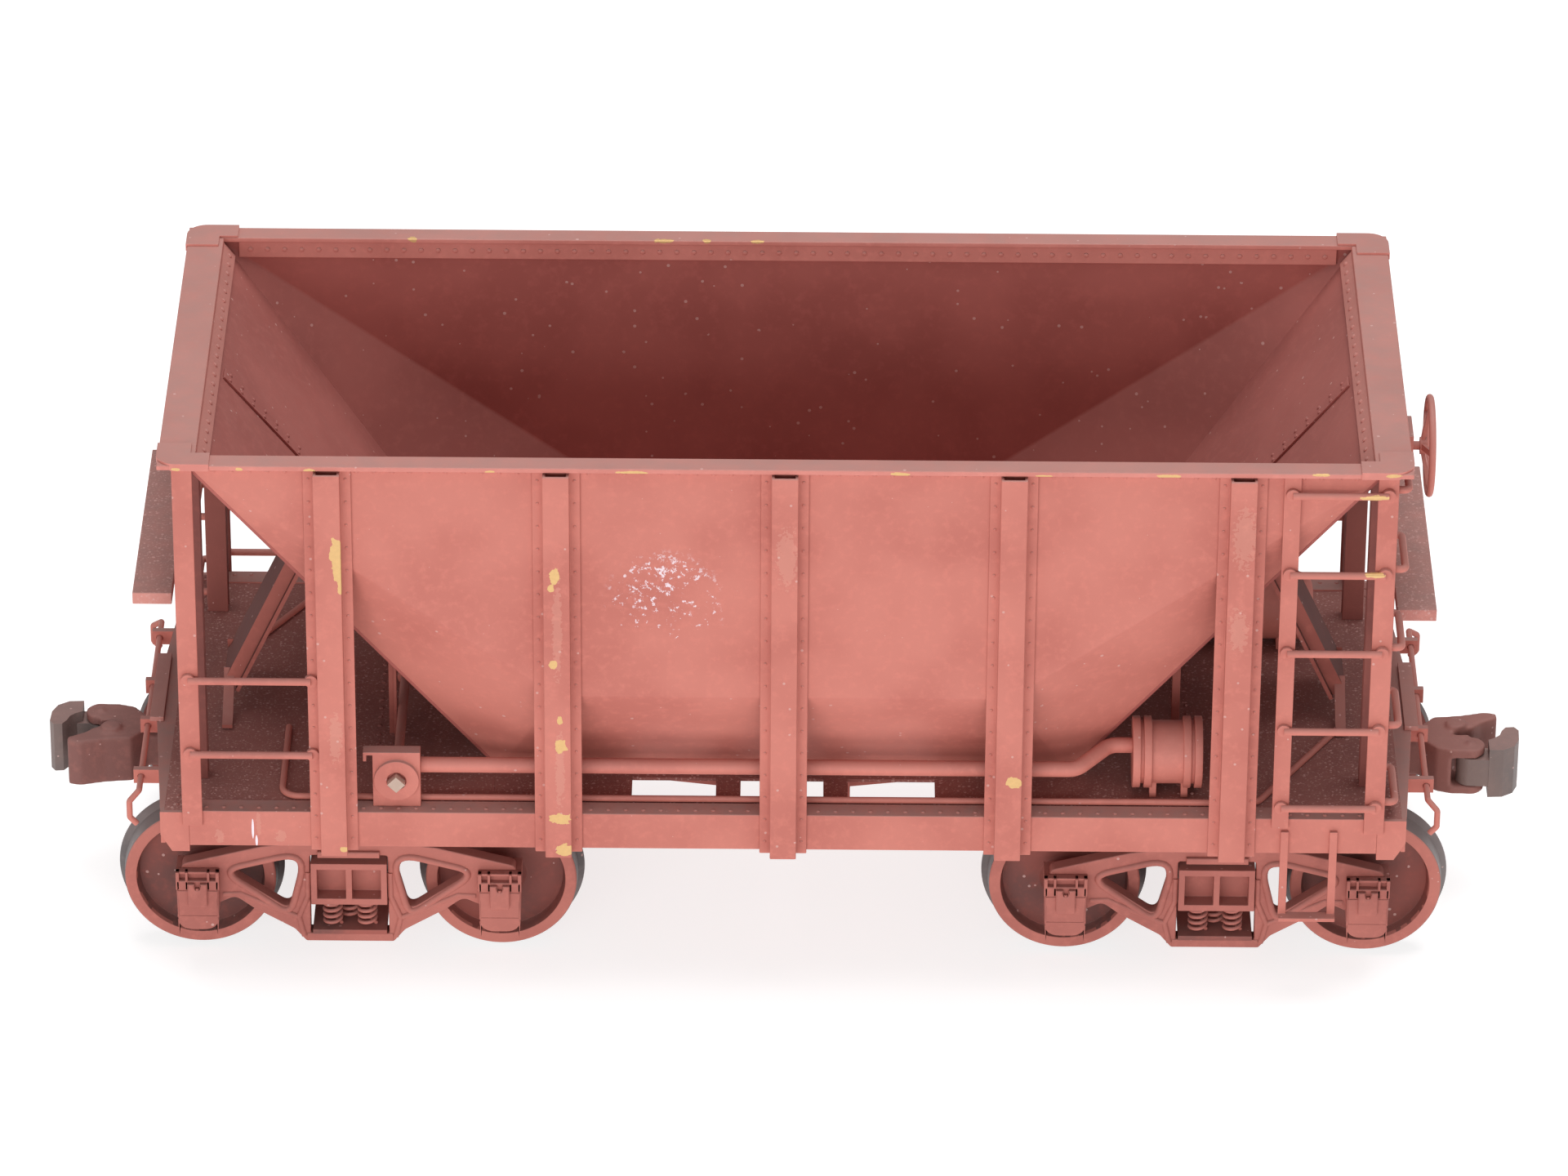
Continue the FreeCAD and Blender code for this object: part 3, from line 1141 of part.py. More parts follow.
def truck_bolster():
    """Deep in the middle under the centre bowl, with ribbed ends in the side frames."""
    mid_y = 8.0
    knee_y = 17.0
    z0 = BOLSTER_BOTTOM
    outline = [(-BOLSTER_END_Y, z0), (BOLSTER_END_Y, z0), (BOLSTER_END_Y, BOLSTER_END_TOP),
               (knee_y, BOLSTER_END_TOP), (mid_y, BOLSTER_MID_TOP), (-mid_y, BOLSTER_MID_TOP),
               (-knee_y, BOLSTER_END_TOP), (-BOLSTER_END_Y, BOLSTER_END_TOP)]
    half = BOLSTER_HALF_WIDTH
    beam = prism_x(outline, -half, half)
    flange = 0.8
    recess = 2.0
    rib = 0.7
    for side in (-1, 1):
        for x0, x1 in ((-half + rib, -rib / 2), (rib / 2, half - rib)):
            beam = beam.cut(box(x0, x1, side * (BOLSTER_END_Y - recess), side * BIG,
                                z0 + flange, BOLSTER_END_TOP - flange))
    bowl = rod_z(BOWL_R + 0.5, BOLSTER_MID_TOP - 0.1, BOWL_TOP, 0, 0)
    hole = rod_z(KING_PIN_R + RUN_GAP, 0, BIG, 0, 0)
    return fused([beam, bowl]).cut(hole)


both_trucks("truck_bolster", [truck_bolster()])


def spring(x, y):
    """Round-wire coil between the plank and the bolster."""
    height = BOLSTER_BOTTOM - PLANK_TOP - 2 * SPRING_WIRE_R - 0.04
    z0 = PLANK_TOP + SPRING_WIRE_R + 0.02
    helix = Part.makeHelix(height / SPRING_TURNS, height, SPRING_R)
    start = helix.Edges[0].valueAt(helix.Edges[0].FirstParameter)
    heading = helix.Edges[0].tangentAt(helix.Edges[0].FirstParameter)
    ring = Part.Wire([Part.makeCircle(SPRING_WIRE_R, start, heading)])
    coil = Part.Wire(helix.Edges).makePipeShell([ring], True, True)
    return moved(coil, x, y, z0)


springs = [spring(x, side * y) for x, y in SPRING_SPOTS for side in (-1, 1)]
both_trucks("springs", springs)


def wheel():
    """Turned wheel: hub, dished web, coned tread and flange, on the car's front side."""
    back = WHEEL_BACK_Y
    face = WHEEL_FACE_Y
    outline = [(WHEEL_BORE_R, back - 0.5), (2.4, back - 0.5), (2.8, back + 1.1), (7.2, back + 0.7),
               (7.2, back), (FLANGE_R - 0.35, back), (FLANGE_R, back + 0.35),
               (FLANGE_R - 0.1, back + 0.75), (TREAD_R + 0.15, back + 1.2), (TREAD_R, face - 0.2),
               (TREAD_R - 0.2, face), (TREAD_R - 1.35, face), (TREAD_R - 1.65, back + 2.1),
               (2.9, back + 2.4), (2.4, face - 0.7), (WHEEL_BORE_R, face - 0.7)]
    section = Part.Face(Part.makePolygon([V(r, -y, 0) for r, y in outline + outline[:1]]))
    return moved(section.revolve(V(0, 0, 0), V(0, 1, 0), 360), 0, 0, AXLE_Z)


def axle():
    shoulder = WHEEL_FACE_Y - 0.3
    journal = rod_y(JOURNAL_R, -JOURNAL_END_Y, JOURNAL_END_Y, 0, AXLE_Z)
    return fused([rod_y(WHEEL_BORE_R, -shoulder, shoulder, 0, AXLE_Z), journal])


wheel_pair = [wheel(), mirror_y(wheel())]
wheelset_xs = [side * TRUCK_X + end * WHEELBASE / 2 for side in (-1, 1) for end in (-1, 1)]
for number, x in enumerate(wheelset_xs, 1):
    save("wheels_" + str(number), [moved(shape, x) for shape in wheel_pair])
    save("axle_" + str(number), [moved(axle(), x)])
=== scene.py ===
import math

import bmesh
import bpy
from mathutils import Matrix, Vector


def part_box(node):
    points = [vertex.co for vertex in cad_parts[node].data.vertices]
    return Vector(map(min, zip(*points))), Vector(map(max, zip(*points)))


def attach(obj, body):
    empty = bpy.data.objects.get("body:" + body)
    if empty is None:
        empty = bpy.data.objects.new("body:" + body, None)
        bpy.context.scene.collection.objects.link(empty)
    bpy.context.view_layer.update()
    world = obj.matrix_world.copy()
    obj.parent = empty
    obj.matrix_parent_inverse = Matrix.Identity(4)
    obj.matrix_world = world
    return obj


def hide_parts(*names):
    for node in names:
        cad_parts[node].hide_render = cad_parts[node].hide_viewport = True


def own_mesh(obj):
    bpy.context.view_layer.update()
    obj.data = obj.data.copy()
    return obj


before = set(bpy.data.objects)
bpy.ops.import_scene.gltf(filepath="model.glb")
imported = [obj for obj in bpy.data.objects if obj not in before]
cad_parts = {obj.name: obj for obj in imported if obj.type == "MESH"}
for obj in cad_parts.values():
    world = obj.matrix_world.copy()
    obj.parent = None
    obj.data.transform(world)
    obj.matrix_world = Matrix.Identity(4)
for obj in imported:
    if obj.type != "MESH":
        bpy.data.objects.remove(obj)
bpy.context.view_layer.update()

# ---- Hopper sheets ----------------------------------------------------------
# Four bent brass sheets soldered edge to edge: two side sheets with their hips and lower flares,
# and two end slopes.  Sprayed matt oxide red; the inside is painted darker as painted shade, under a
# little dust, and a round emblem on the front has rubbed down to flecks.
MM = 0.001
FACE_Y = 27.8                    # outside of the side sheets
SHEET = 0.5
OXIDE_RED = (0.545, 0.180, 0.142, 1)
OXIDE_SHADE = (0.470, 0.142, 0.112, 1)
DUST = (0.330, 0.195, 0.175, 1)
BRASS = (0.74, 0.47, 0.20, 1)
FLECK_WHITE = (0.80, 0.70, 0.76, 1)


def wired(tree, kind, inputs, **settings):
    """Add a shader node, set it up and join its inputs."""
    node = tree.nodes.new(kind)
    for name, value in settings.items():
        setattr(node, name, value)
    for socket, value in inputs.items():
        if isinstance(value, bpy.types.NodeSocket):
            tree.links.new(value, node.inputs[socket])
        else:
            node.inputs[socket].default_value = value
    return node


def calc(tree, operation, first, second=0.0, third=0.0, clamp=False):
    inputs = {0: first, 1: second, 2: third}
    return wired(tree, "ShaderNodeMath", inputs, operation=operation, use_clamp=clamp).outputs[0]


def layer(tree, amount, under, over):
    """Colour of one coat over another."""
    inputs = {0: amount, 6: under, 7: over}
    return wired(tree, "ShaderNodeMix", inputs, data_type="RGBA", clamp_factor=True).outputs[2]


def millimetres(tree):
    """Place on the piece at rest, in millimetres."""
    place = wired(tree, "ShaderNodeTexCoord", {}).outputs["Object"]
    return wired(tree, "ShaderNodeVectorMath", {0: place, "Scale": 1 / MM}, operation="SCALE").outputs[0]


def clouds(tree, place, per_mm, detail=3.0, rough=0.55):
    inputs = {"Vector": place, "Scale": per_mm, "Detail": detail, "Roughness": rough}
    return wired(tree, "ShaderNodeTexNoise", inputs).outputs["Fac"]


def stretch(tree, value, low, high):
    """0 at low, 1 at high."""
    inputs = {0: value, 1: low, 2: high, 3: 0.0, 4: 1.0}
    return wired(tree, "ShaderNodeMapRange", inputs, interpolation_type="SMOOTHSTEP").outputs[0]


def specks(tree, place, per_mm, size, share):
    """Scattered grains: size is a share of the spacing, share is how many cells hold one."""
    cells = wired(tree, "ShaderNodeTexVoronoi", {"Vector": place, "Scale": per_mm})
    chance = wired(tree, "ShaderNodeSeparateColor", {0: cells.outputs["Color"]})
    present = calc(tree, "LESS_THAN", chance.outputs[0], share)
    radius = calc(tree, "MULTIPLY", chance.outputs[1], size)
    grain = calc(tree, "LESS_THAN", cells.outputs["Distance"], radius)
    return calc(tree, "MULTIPLY", present, grain)


def facing_up(tree):
    normal = wired(tree, "ShaderNodeNewGeometry", {}).outputs["Normal"]
    return calc(tree, "MAXIMUM", wired(tree, "ShaderNodeSeparateXYZ", {0: normal}).outputs[2], 0.0)


def fibres(tree, place):
    """Short pale hairs lying in patches."""
    line = calc(tree, "ABSOLUTE", calc(tree, "SUBTRACT", clouds(tree, place, 0.55, 1.0), 0.5))
    hair = calc(tree, "LESS_THAN", line, 0.0035)
    patch = calc(tree, "GREATER_THAN", clouds(tree, place, 0.42, 2.0), 0.56)
    return calc(tree, "MULTIPLY", hair, patch)


def spot_mask(tree, place, spots, raggedness=0.75, per_mm=1.5):
    """1 inside ragged spots, each a centre and half sizes in millimetres."""
    ragged = calc(tree, "MULTIPLY_ADD", clouds(tree, place, per_mm), raggedness * 2, -raggedness)
    mask = None
    for centre, half in spots:
        away = wired(tree, "ShaderNodeVectorMath", {0: place, 1: centre}, operation="SUBTRACT")
        shares = wired(tree, "ShaderNodeVectorMath", {0: away.outputs[0], 1: half}, operation="DIVIDE")
        reach = wired(tree, "ShaderNodeVectorMath", {0: shares.outputs[0]}, operation="LENGTH")
        inside = calc(tree, "LESS_THAN", calc(tree, "ADD", reach.outputs["Value"], ragged), 1.0)
        mask = inside if mask is None else calc(tree, "MAXIMUM", mask, inside)
    return mask


def oxide_paint(name, red=OXIDE_RED, shade=OXIDE_SHADE, dust=0.55, veil=0.0, grains=0.10,
                chips=(), rubbed=(), flecks=None, hairs=False, roughness=0.62, grain_depth=0.012,
                metal=BRASS):
    """Matt paint with mottling, dust on what faces up, grains, and brass where it has chipped."""
    material = bpy.data.materials.new(name)
    material.use_nodes = True
    tree = material.node_tree
    shader = tree.nodes["Principled BSDF"]
    place = millimetres(tree)
    broad = clouds(tree, place, 0.07, 2.0)
    fine = clouds(tree, place, 0.9, 4.0, 0.6)
    colour = layer(tree, stretch(tree, broad, 0.35, 0.68), red, shade)
    lighter = tuple(min(1.0, c * 1.16) for c in red[:3]) + (1,)
    colour = layer(tree, calc(tree, "MULTIPLY", stretch(tree, fine, 0.45, 0.75), 0.45), colour, lighter)
    lying = calc(tree, "MULTIPLY", facing_up(tree), dust)
    patchy = calc(tree, "MULTIPLY_ADD", clouds(tree, place, 0.45, 5.0, 0.65), 1.1, 0.45)
    film = calc(tree, "MULTIPLY_ADD", lying, patchy, veil, clamp=True)
    colour = layer(tree, film, colour, DUST)
    grain = specks(tree, place, 1.5, 0.30, grains)
    pale = tuple(min(1.0, c * 1.7 + 0.08) for c in DUST[:3]) + (1,)
    colour = layer(tree, calc(tree, "MULTIPLY", grain, 0.55), colour, pale)
    if hairs:
        grit = specks(tree, place, 2.3, 0.40, grains)
        lint = calc(tree, "MAXIMUM", grit, fibres(tree, place))
        colour = layer(tree, calc(tree, "MULTIPLY", lint, 0.5), colour, pale)
        silt = stretch(tree, clouds(tree, place, 3.2, 2.0), 0.56, 0.70)
        colour = layer(tree, calc(tree, "MULTIPLY", silt, 0.38), colour, pale)
    if rubbed:
        worn = spot_mask(tree, place, rubbed, 1.3, 2.2)
        colour = layer(tree, calc(tree, "MULTIPLY", worn, 0.22), colour, (0.66, 0.36, 0.28, 1))
    if flecks:
        colour = layer(tree, flecks(tree, place), colour, FLECK_WHITE)
    dull = calc(tree, "MULTIPLY_ADD", fine, 0.16, roughness - 0.08)
    if chips:
        bare = spot_mask(tree, place, chips)
        dulled = tuple(c * 0.8 for c in metal[:3]) + (1,)
        colour = layer(tree, bare, colour, layer(tree, clouds(tree, place, 2.0), metal, dulled))
        tree.links.new(calc(tree, "MULTIPLY", bare, 0.25), shader.inputs["Metallic"])
        dull = calc(tree, "MULTIPLY_ADD", bare, -0.22, dull)
    tree.links.new(colour, shader.inputs["Base Color"])
    tree.links.new(dull, shader.inputs["Roughness"])
    shader.inputs["Specular IOR Level"].default_value = 0.35
    pebble = clouds(tree, place, 2.6, 3.0)
    height = calc(tree, "MULTIPLY_ADD", grain, 0.8, pebble)
    inputs = {"Height": height, "Distance": grain_depth * MM, "Strength": 0.7}
    bump = wired(tree, "ShaderNodeBump", inputs)
    tree.links.new(bump.outputs[0], shader.inputs["Normal"])
    return material


def emblem_flecks(tree, place):
    """What is left of a round emblem on the front: loose flecks inside a disc."""
    radius = 7.4
    centre = (-13.5, -FACE_Y, 52.0)
    away = wired(tree, "ShaderNodeVectorMath", {0: place, 1: centre}, operation="SUBTRACT")
    reach = wired(tree, "ShaderNodeVectorMath", {0: away.outputs[0]}, operation="LENGTH").outputs["Value"]
    inside = calc(tree, "SUBTRACT", 1.0, stretch(tree, reach, radius - 2.2, radius))
    drift = clouds(tree, place, 0.28, 2.0)
    broken = clouds(tree, place, 1.5, 5.0, 0.7)
    height = wired(tree, "ShaderNodeSeparateXYZ", {0: away.outputs[0]}).outputs[2]
    upper = calc(tree, "MULTIPLY", height, 0.012)
    kept = calc(tree, "ADD", broken, calc(tree, "MULTIPLY_ADD", drift, 0.3, -0.15))
    kept = calc(tree, "ADD", kept, upper)
    kept = stretch(tree, kept, 0.60, 0.66)
    return calc(tree, "MULTIPLY", kept, calc(tree, "MULTIPLY", inside, 0.85))


def dress(piece, node, body, material):
    """Hang a finished piece on its body in place of its plain node."""
    piece.data.materials.clear()
    piece.data.materials.append(material)
    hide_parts(node)
    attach(piece, body)
    return piece


def shaped(name, bm):
    """A piece from a mesh drawn in millimetres, with flat faces flat and rounded edges smooth."""
    bmesh.ops.recalc_face_normals(bm, faces=bm.faces)
    bm.transform(Matrix.Scale(MM, 4))
    mesh = bpy.data.meshes.new(name)
    for face in bm.faces:
        face.smooth = True
    bm.to_mesh(mesh)
    bm.free()
    mesh.set_sharp_from_angle(angle=math.radians(38))
    piece = bpy.data.objects.new(name, mesh)
    bpy.context.scene.collection.objects.link(piece)
    even = piece.modifiers.new("even", "WEIGHTED_NORMAL")
    even.keep_sharp = True
    return piece


def welded(node):
    """The node's own form in millimetres, with flat areas joined into single faces."""
    bm = bmesh.new()
    bm.from_mesh(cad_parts[node].data)
    bm.transform(Matrix.Scale(1 / MM, 4))
    bmesh.ops.remove_doubles(bm, verts=bm.verts, dist=0.0008)
    bmesh.ops.dissolve_limit(bm, angle_limit=math.radians(0.8), verts=bm.verts, edges=bm.edges)
    return bm


def eased(node, edge, least=30, most=180, steps=2, name=None):
    """The node with its sharp edges rounded off."""
    bm = welded(node)
    sharp = [e for e in bm.edges if e.is_manifold
             and math.radians(least) < e.calc_face_angle(0) < math.radians(most)]
    bmesh.ops.bevel(bm, geom=sharp, offset=edge, segments=steps, profile=0.6, affect="EDGES",
                    clamp_overlap=True)
    return shaped(name or node + "_piece", bm)


sheet_paint = oxide_paint("side_sheet_paint", dust=0.9, veil=0.0, grains=0.05, flecks=emblem_flecks)
lining_paint = oxide_paint("hopper_lining_paint", (0.40, 0.108, 0.090, 1), (0.335, 0.084, 0.070, 1),
                           dust=0.30, veil=0.03, grains=0.07, roughness=0.7)
# Faces turned into the hopper take the darker lining paint: painted shade.
for node, side in (("side_sheet_front", -1), ("side_sheet_back", 1)):
    sheet = dress(eased(node, 0.45, 4, 60, 3), node, "car_body", sheet_paint)
    sheet.data.materials.append(lining_paint)
    for face in sheet.data.polygons:
        face.material_index = 1 if face.normal.y * side < -0.02 else 0
# The slope sheets, seam straps and ridge caps take the same darker lining paint: painted shade.
for node in ("slope_sheet_left", "slope_sheet_right"):
    dress(eased(node, 0.12, 30), node, "car_body", lining_paint)
for node in ("slope_seam_straps", "ridge_caps"):
    dress(eased(node, 0.06), node, "car_body", lining_paint)


def rivets(name, seats, radius, body, material):
    """Domed rivet heads on their seats, each a point and the way the head faces."""
    sides = 8
    bm = bmesh.new()
    for seat, facing in seats:
        facing = Vector(facing).normalized()
        turn = facing.to_track_quat("Z", "Y").to_matrix()
        rings = []
        for lift, share in ((-0.15, 1.0), (0.22, 0.94), (0.46, 0.66)):
            ring = []
            for i in range(sides):
                angle = 2 * math.pi * i / sides
                spot = Vector((math.cos(angle) * share, math.sin(angle) * share, lift)) * radius
                ring.append(bm.verts.new(Vector(seat) + turn @ spot))
            rings.append(ring)
        crown = bm.verts.new(Vector(seat) + facing * radius * 0.58)
        for low, high in zip(rings, rings[1:]):
            for i in range(sides):
                bm.faces.new((low[i], low[(i + 1) % sides], high[(i + 1) % sides], high[i]))
        for i in range(sides):
            bm.faces.new((rings[-1][i], rings[-1][(i + 1) % sides], crown))
        bm.faces.new(rings[0][::-1])
    piece = shaped(name, bm)
    piece.data.materials.append(material)
    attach(piece, body)
    return piece


def spaced(first, last, pitch):
    count = int(round((last - first) / pitch))
    return [first + (last - first) * i / count for i in range(count + 1)]


POSTS = [25.66 * (i - 2) for i in range(5)]
POST_WIDTH = 5.4
under_rim = [x for x in spaced(-64, 64, 2.0)
             if min(abs(x - p) for p in POSTS) > POST_WIDTH / 2 + 0.4]
sheet_heads = [((x, side * FACE_Y, 68.75), (0, side, 0)) for side in (-1, 1) for x in under_rim]
rivets("side_sheet_rivets", sheet_heads, 0.27, "car_body", sheet_paint)

# Slope lap rivets: a double row along each centre strap.
RIM_UNDER = 69.4
DECK_TOP = 24.1
SLOPE_FOOT_X = 33.0
SLOPE_HEAD_X = 67.3
SLOPE_RUN = (SLOPE_HEAD_X - SLOPE_FOOT_X) / (RIM_UNDER - DECK_TOP)
SLOPE_COS = 1 / math.hypot(1, SLOPE_RUN)


def slope_spot(end, y, z, depth):
    """Point on the inside of a slope sheet, raised off it by depth."""
    return (end * (SLOPE_FOOT_X + SLOPE_RUN * (z - DECK_TOP) - (SHEET + depth) / SLOPE_COS), y, z)


def slope_facing(end):
    """Way that the inside of a slope sheet faces."""
    return (-end * SLOPE_COS, 0, SLOPE_RUN * SLOPE_COS)


strap_low = DECK_TOP + 6.0
strap_high = RIM_UNDER - 2.8
lap = []
for end in (-1, 1):
    for z in spaced(strap_low + 1, strap_high - 0.6, 1.7):
        across = -2.0 + 4.0 * (strap_high - z) / (strap_high - strap_low)
        for offset in (0.5, 1.7):
            lap.append((slope_spot(end, across + offset, z, 0.3), slope_facing(end)))
rivets("slope_seam_rivets", lap, 0.26, "car_body", lining_paint)

# ---- Top chord ---------------------------------------------------------------
# Rolled angle round the hopper's rim, its leg riveted inside, with an L plate lapped over each
# corner.  Handling has dusted the flats grey and knocked paint off the edges down to the brass.
rim_chips = [((-44.0, 26.4, 70.0), (0.6, 0.5, 0.35)), ((-14.5, 26.4, 70.0), (1.3, 0.45, 0.28)),
             ((-9.5, 26.5, 70.0), (0.5, 0.4, 0.28)), ((-3.5, 26.4, 70.0), (0.75, 0.4, 0.35)),
             ((-61.0, -29.0, 69.6), (0.4, 0.3, 0.24)), ((-53.0, -29.0, 69.5), (0.65, 0.3, 0.21)),
             ((-17.0, -29.0, 69.55), (1.8, 0.3, 0.2)), ((13.0, -29.0, 69.6), (1.2, 0.3, 0.21)),
             ((43.0, -29.0, 69.6), (1.5, 0.3, 0.21)), ((-33.0, -29.0, 69.5), (0.5, 0.3, 0.17)),
             ((60.0, -29.1, 69.9), (1.1, 0.3, 0.21)), ((68.0, -29.1, 69.9), (0.8, 0.3, 0.21)),
             ((29.0, -29.0, 69.5), (1.0, 0.3, 0.14)), ((-68.0, -29.0, 69.6), (0.55, 0.3, 0.21))]
rim_paint = oxide_paint("rim_paint", (0.60, 0.215, 0.178, 1), (0.53, 0.178, 0.146, 1), dust=0.62,
                        grains=0.05, chips=rim_chips)
for node in ("top_chord_sides", "top_chord_ends"):
    dress(eased(node, 0.16), node, "car_body", rim_paint)
dress(eased("rim_corner_caps", 0.10), "rim_corner_caps", "car_body", rim_paint)
leg_face = FACE_Y - SHEET - 0.5
chord = [((x, side * leg_face, 68.3), (0, -side, 0)) for side in (-1, 1) for x in spaced(-63, 63, 2.0)]
for end in (-1, 1):
    for y in spaced(-24.8, 24.8, 2.3):
        chord.append((slope_spot(end, y, RIM_UNDER - 0.95, 0.5), slope_facing(end)))
rivets("top_chord_rivets", chord, 0.33, "car_body", rim_paint)

# ---- Posts --------------------------------------------------------------------
# Pressed hat sections on the sides, angles at the corners and channels at the ends, all soldered
# on; the front ones have lost paint in patches, and the far ones and the end channels carry painted shade.
post_chips = [((-50.35, -29.5, 59.3), (0.72, 0.5, 1.9)), ((-50.15, -29.5, 57.0), (0.6, 0.5, 1.7)),
              ((-49.95, -29.5, 55.1), (0.35, 0.5, 1.2)), ((-25.9, -29.5, 56.4), (0.55, 0.5, 0.9)),
              ((-26.3, -29.5, 54.9), (0.35, 0.5, 0.5)), ((-26.1, -29.5, 45.0), (0.4, 0.5, 0.6)),
              ((-25.3, -29.5, 34.3), (0.7, 0.5, 0.9)), ((-25.4, -29.5, 24.6), (1.25, 0.5, 0.75)),
              ((-24.9, -29.5, 20.5), (1.0, 0.5, 0.8)), ((26.2, -29.5, 29.9), (0.95, 0.5, 0.7)),
              ((-50.2, -29.5, 20.3), (0.45, 0.5, 0.35)), ((-25.4, -29.5, 37.6), (0.3, 0.5, 0.6))]
post_rubs = [((0.3, -29.5, 59.0), (1.1, 0.6, 3.4)), ((51.6, -29.5, 62.0), (1.2, 0.6, 3.6)),
             ((51.2, -29.5, 50.0), (1.0, 0.6, 2.4)), ((-25.6, -29.5, 49.5), (0.5, 0.6, 6.0)),
             ((-25.4, -29.5, 31.0), (0.5, 0.6, 4.5)), ((-50.9, -29.5, 35.0), (0.7, 0.6, 3.0))]
post_paint = oxide_paint("post_paint", dust=0.7, chips=post_chips, rubbed=post_rubs, grains=0.05)
far_post_painted_shade = oxide_paint("far_post_painted_shade", (0.27, 0.080, 0.064, 1), (0.21, 0.062, 0.052, 1), dust=0.3,
                             grains=0.05)
FAR_SIDE_Y = 20                  # posts past here are on the far side
# Post faces on the far side that turn away from the front take a dark copy of the paint: painted shade.
for node, edge in (("side_posts", 0.12), ("corner_posts", 0.10)):
    posts = dress(eased(node, edge), node, "car_body", post_paint)
    posts.data.materials.append(far_post_painted_shade)
    for face in posts.data.polygons:
        painted_shade_face = face.normal.y < 0.3 and face.center.y > FAR_SIDE_Y * MM
        face.material_index = 1 if painted_shade_face else 0
END_POST_INNER = 68.0            # the web side of the end post starts past here
END_POST_SPREAD = 1.2
# The end channels take the same dark paint all over: painted shade.
end_posts = dress(eased("end_posts", 0.10), "end_posts", "car_body", far_post_painted_shade)
for vertex in end_posts.data.vertices:
    if abs(vertex.co.x) < END_POST_INNER * MM:
        vertex.co.x -= math.copysign(END_POST_SPREAD * MM, vertex.co.x)
flange_face = FACE_Y + 0.35
flange_mid = 2.1
heads = [((p + s * flange_mid, side * flange_face, z), (0, side, 0)) for p in POSTS for s in (-1, 1)
         for side in (-1, 1) for z in spaced(21.0, 68.0, 3.0)]
rivets("post_rivets", heads, 0.20, "car_body", post_paint)

# ---- Underframe ---------------------------------------------------------------
# Channel sills round a plate deck, with the centre sill, bolsters and cross ties below.  The deck
# is thick with settled dust and grit over a dark base that is partly painted shade from the hopper.
SCRATCHES = [((-60.7, -27.8, 22.0), (0.13, 0.5, 1.3)), ((-60.3, -27.8, 20.4), (0.13, 0.5, 0.7))]


def sill_scratches(tree, place):
    return spot_mask(tree, place, SCRATCHES, 0.3, 1.0)


SILL_RUBS = [((-60.0, -27.8, 22.5), (0.25, 0.5, 1.6)), ((-64.5, -27.8, 21.0), (0.5, 0.5, 0.8)),
             ((-57.5, -27.8, 21.0), (0.6, 0.5, 0.7))]
sill_paint = oxide_paint("sill_paint", dust=0.85, grains=0.08, flecks=sill_scratches, rubbed=SILL_RUBS)
# The deck's dark base colour is partly painted shade under the hopper; the dust and grit lie over it.
deck_paint = oxide_paint("dusty_deck_paint", (0.285, 0.090, 0.073, 1), (0.215, 0.066, 0.056, 1),
                         dust=0.33, veil=0.05, grains=0.42, hairs=True, roughness=0.8, grain_depth=0.05)
buffer_paint = oxide_paint("buffer_paint", (0.46, 0.190, 0.160, 1), (0.38, 0.150, 0.128, 1), dust=0.5,
                           grains=0.3)
dress(eased("side_sills", 0.12), "side_sills", "car_body", sill_paint)
dress(eased("end_sills", 0.12), "end_sills", "car_body", sill_paint)
for node in ("centre_sill", "body_bolsters", "cross_ties"):
    dress(eased(node, 0.08), node, "car_body", sill_paint)
for node in ("deck_ends", "deck_walkways"):
    dress(eased(node, 0.05), node, "car_body", deck_paint)
dress(eased("buffer_plates", 0.05), "buffer_plates", "car_body", buffer_paint)
ledge = [((x, side * 26.9, 24.3), (0, 0, 1)) for side in (-1, 1) for x in spaced(-66, 66, 2.0)]
rivets("sill_rivets", ledge, 0.26, "car_body", sill_paint)
bolster_rows = [((end * x, y, DECK_TOP), (0, 0, 1)) for end in (-1, 1) for x in (45.5, 47.0)
                for y in spaced(-24, 24, 2.0)]
end_rows = [((end * 69.4, y, DECK_TOP), (0, 0, 1)) for end in (-1, 1) for y in spaced(-26, 26, 2.0)]
rivets("deck_rivets", bolster_rows + end_rows, 0.30, "car_body", deck_paint)

# ---- Braces and stanchions ----------------------------------------------------
# Hat sections, open towards the hopper, hold the end slopes up.  Each stops short of the deck and
# stands on two splayed straps, its outer face painted dark as painted shade; the stanchions are plain
# angles.
brace_paint = oxide_paint("brace_paint", (0.43, 0.130, 0.102, 1), (0.34, 0.096, 0.076, 1), dust=0.55,
                          grains=0.12)
BRACE_HALF = 3.8
BRACE_DEEP = 2.0
BRACE_LIP = 0.9
BRACE_THICK = 0.45
BRACE_SPARE = 12                 # run past the sheet before it is trimmed
STRAP_SECTION = ((64.1, 0.0), (65.3, 0.0), (65.3, 0.45), (64.1, 0.45))
brace_foot = Vector((65.35, 0, 27.4))
brace_head = Vector((55.2, 0, 49.0))


def bar_between(bm, low, high, outline, out):
    """Add a bar of constant section; outline pairs are across the car and out from the hopper."""
    rings = []
    for spot in (low, high):
        rings.append([bm.verts.new(spot + out * d + Vector((0, y, 0))) for y, d in outline])
    count = len(outline)
    for i in range(count):
        j = (i + 1) % count
        bm.faces.new((rings[0][i], rings[0][j], rings[1][j], rings[1][i]))
    bm.faces.new(rings[0][::-1])
    bm.faces.new(rings[1])


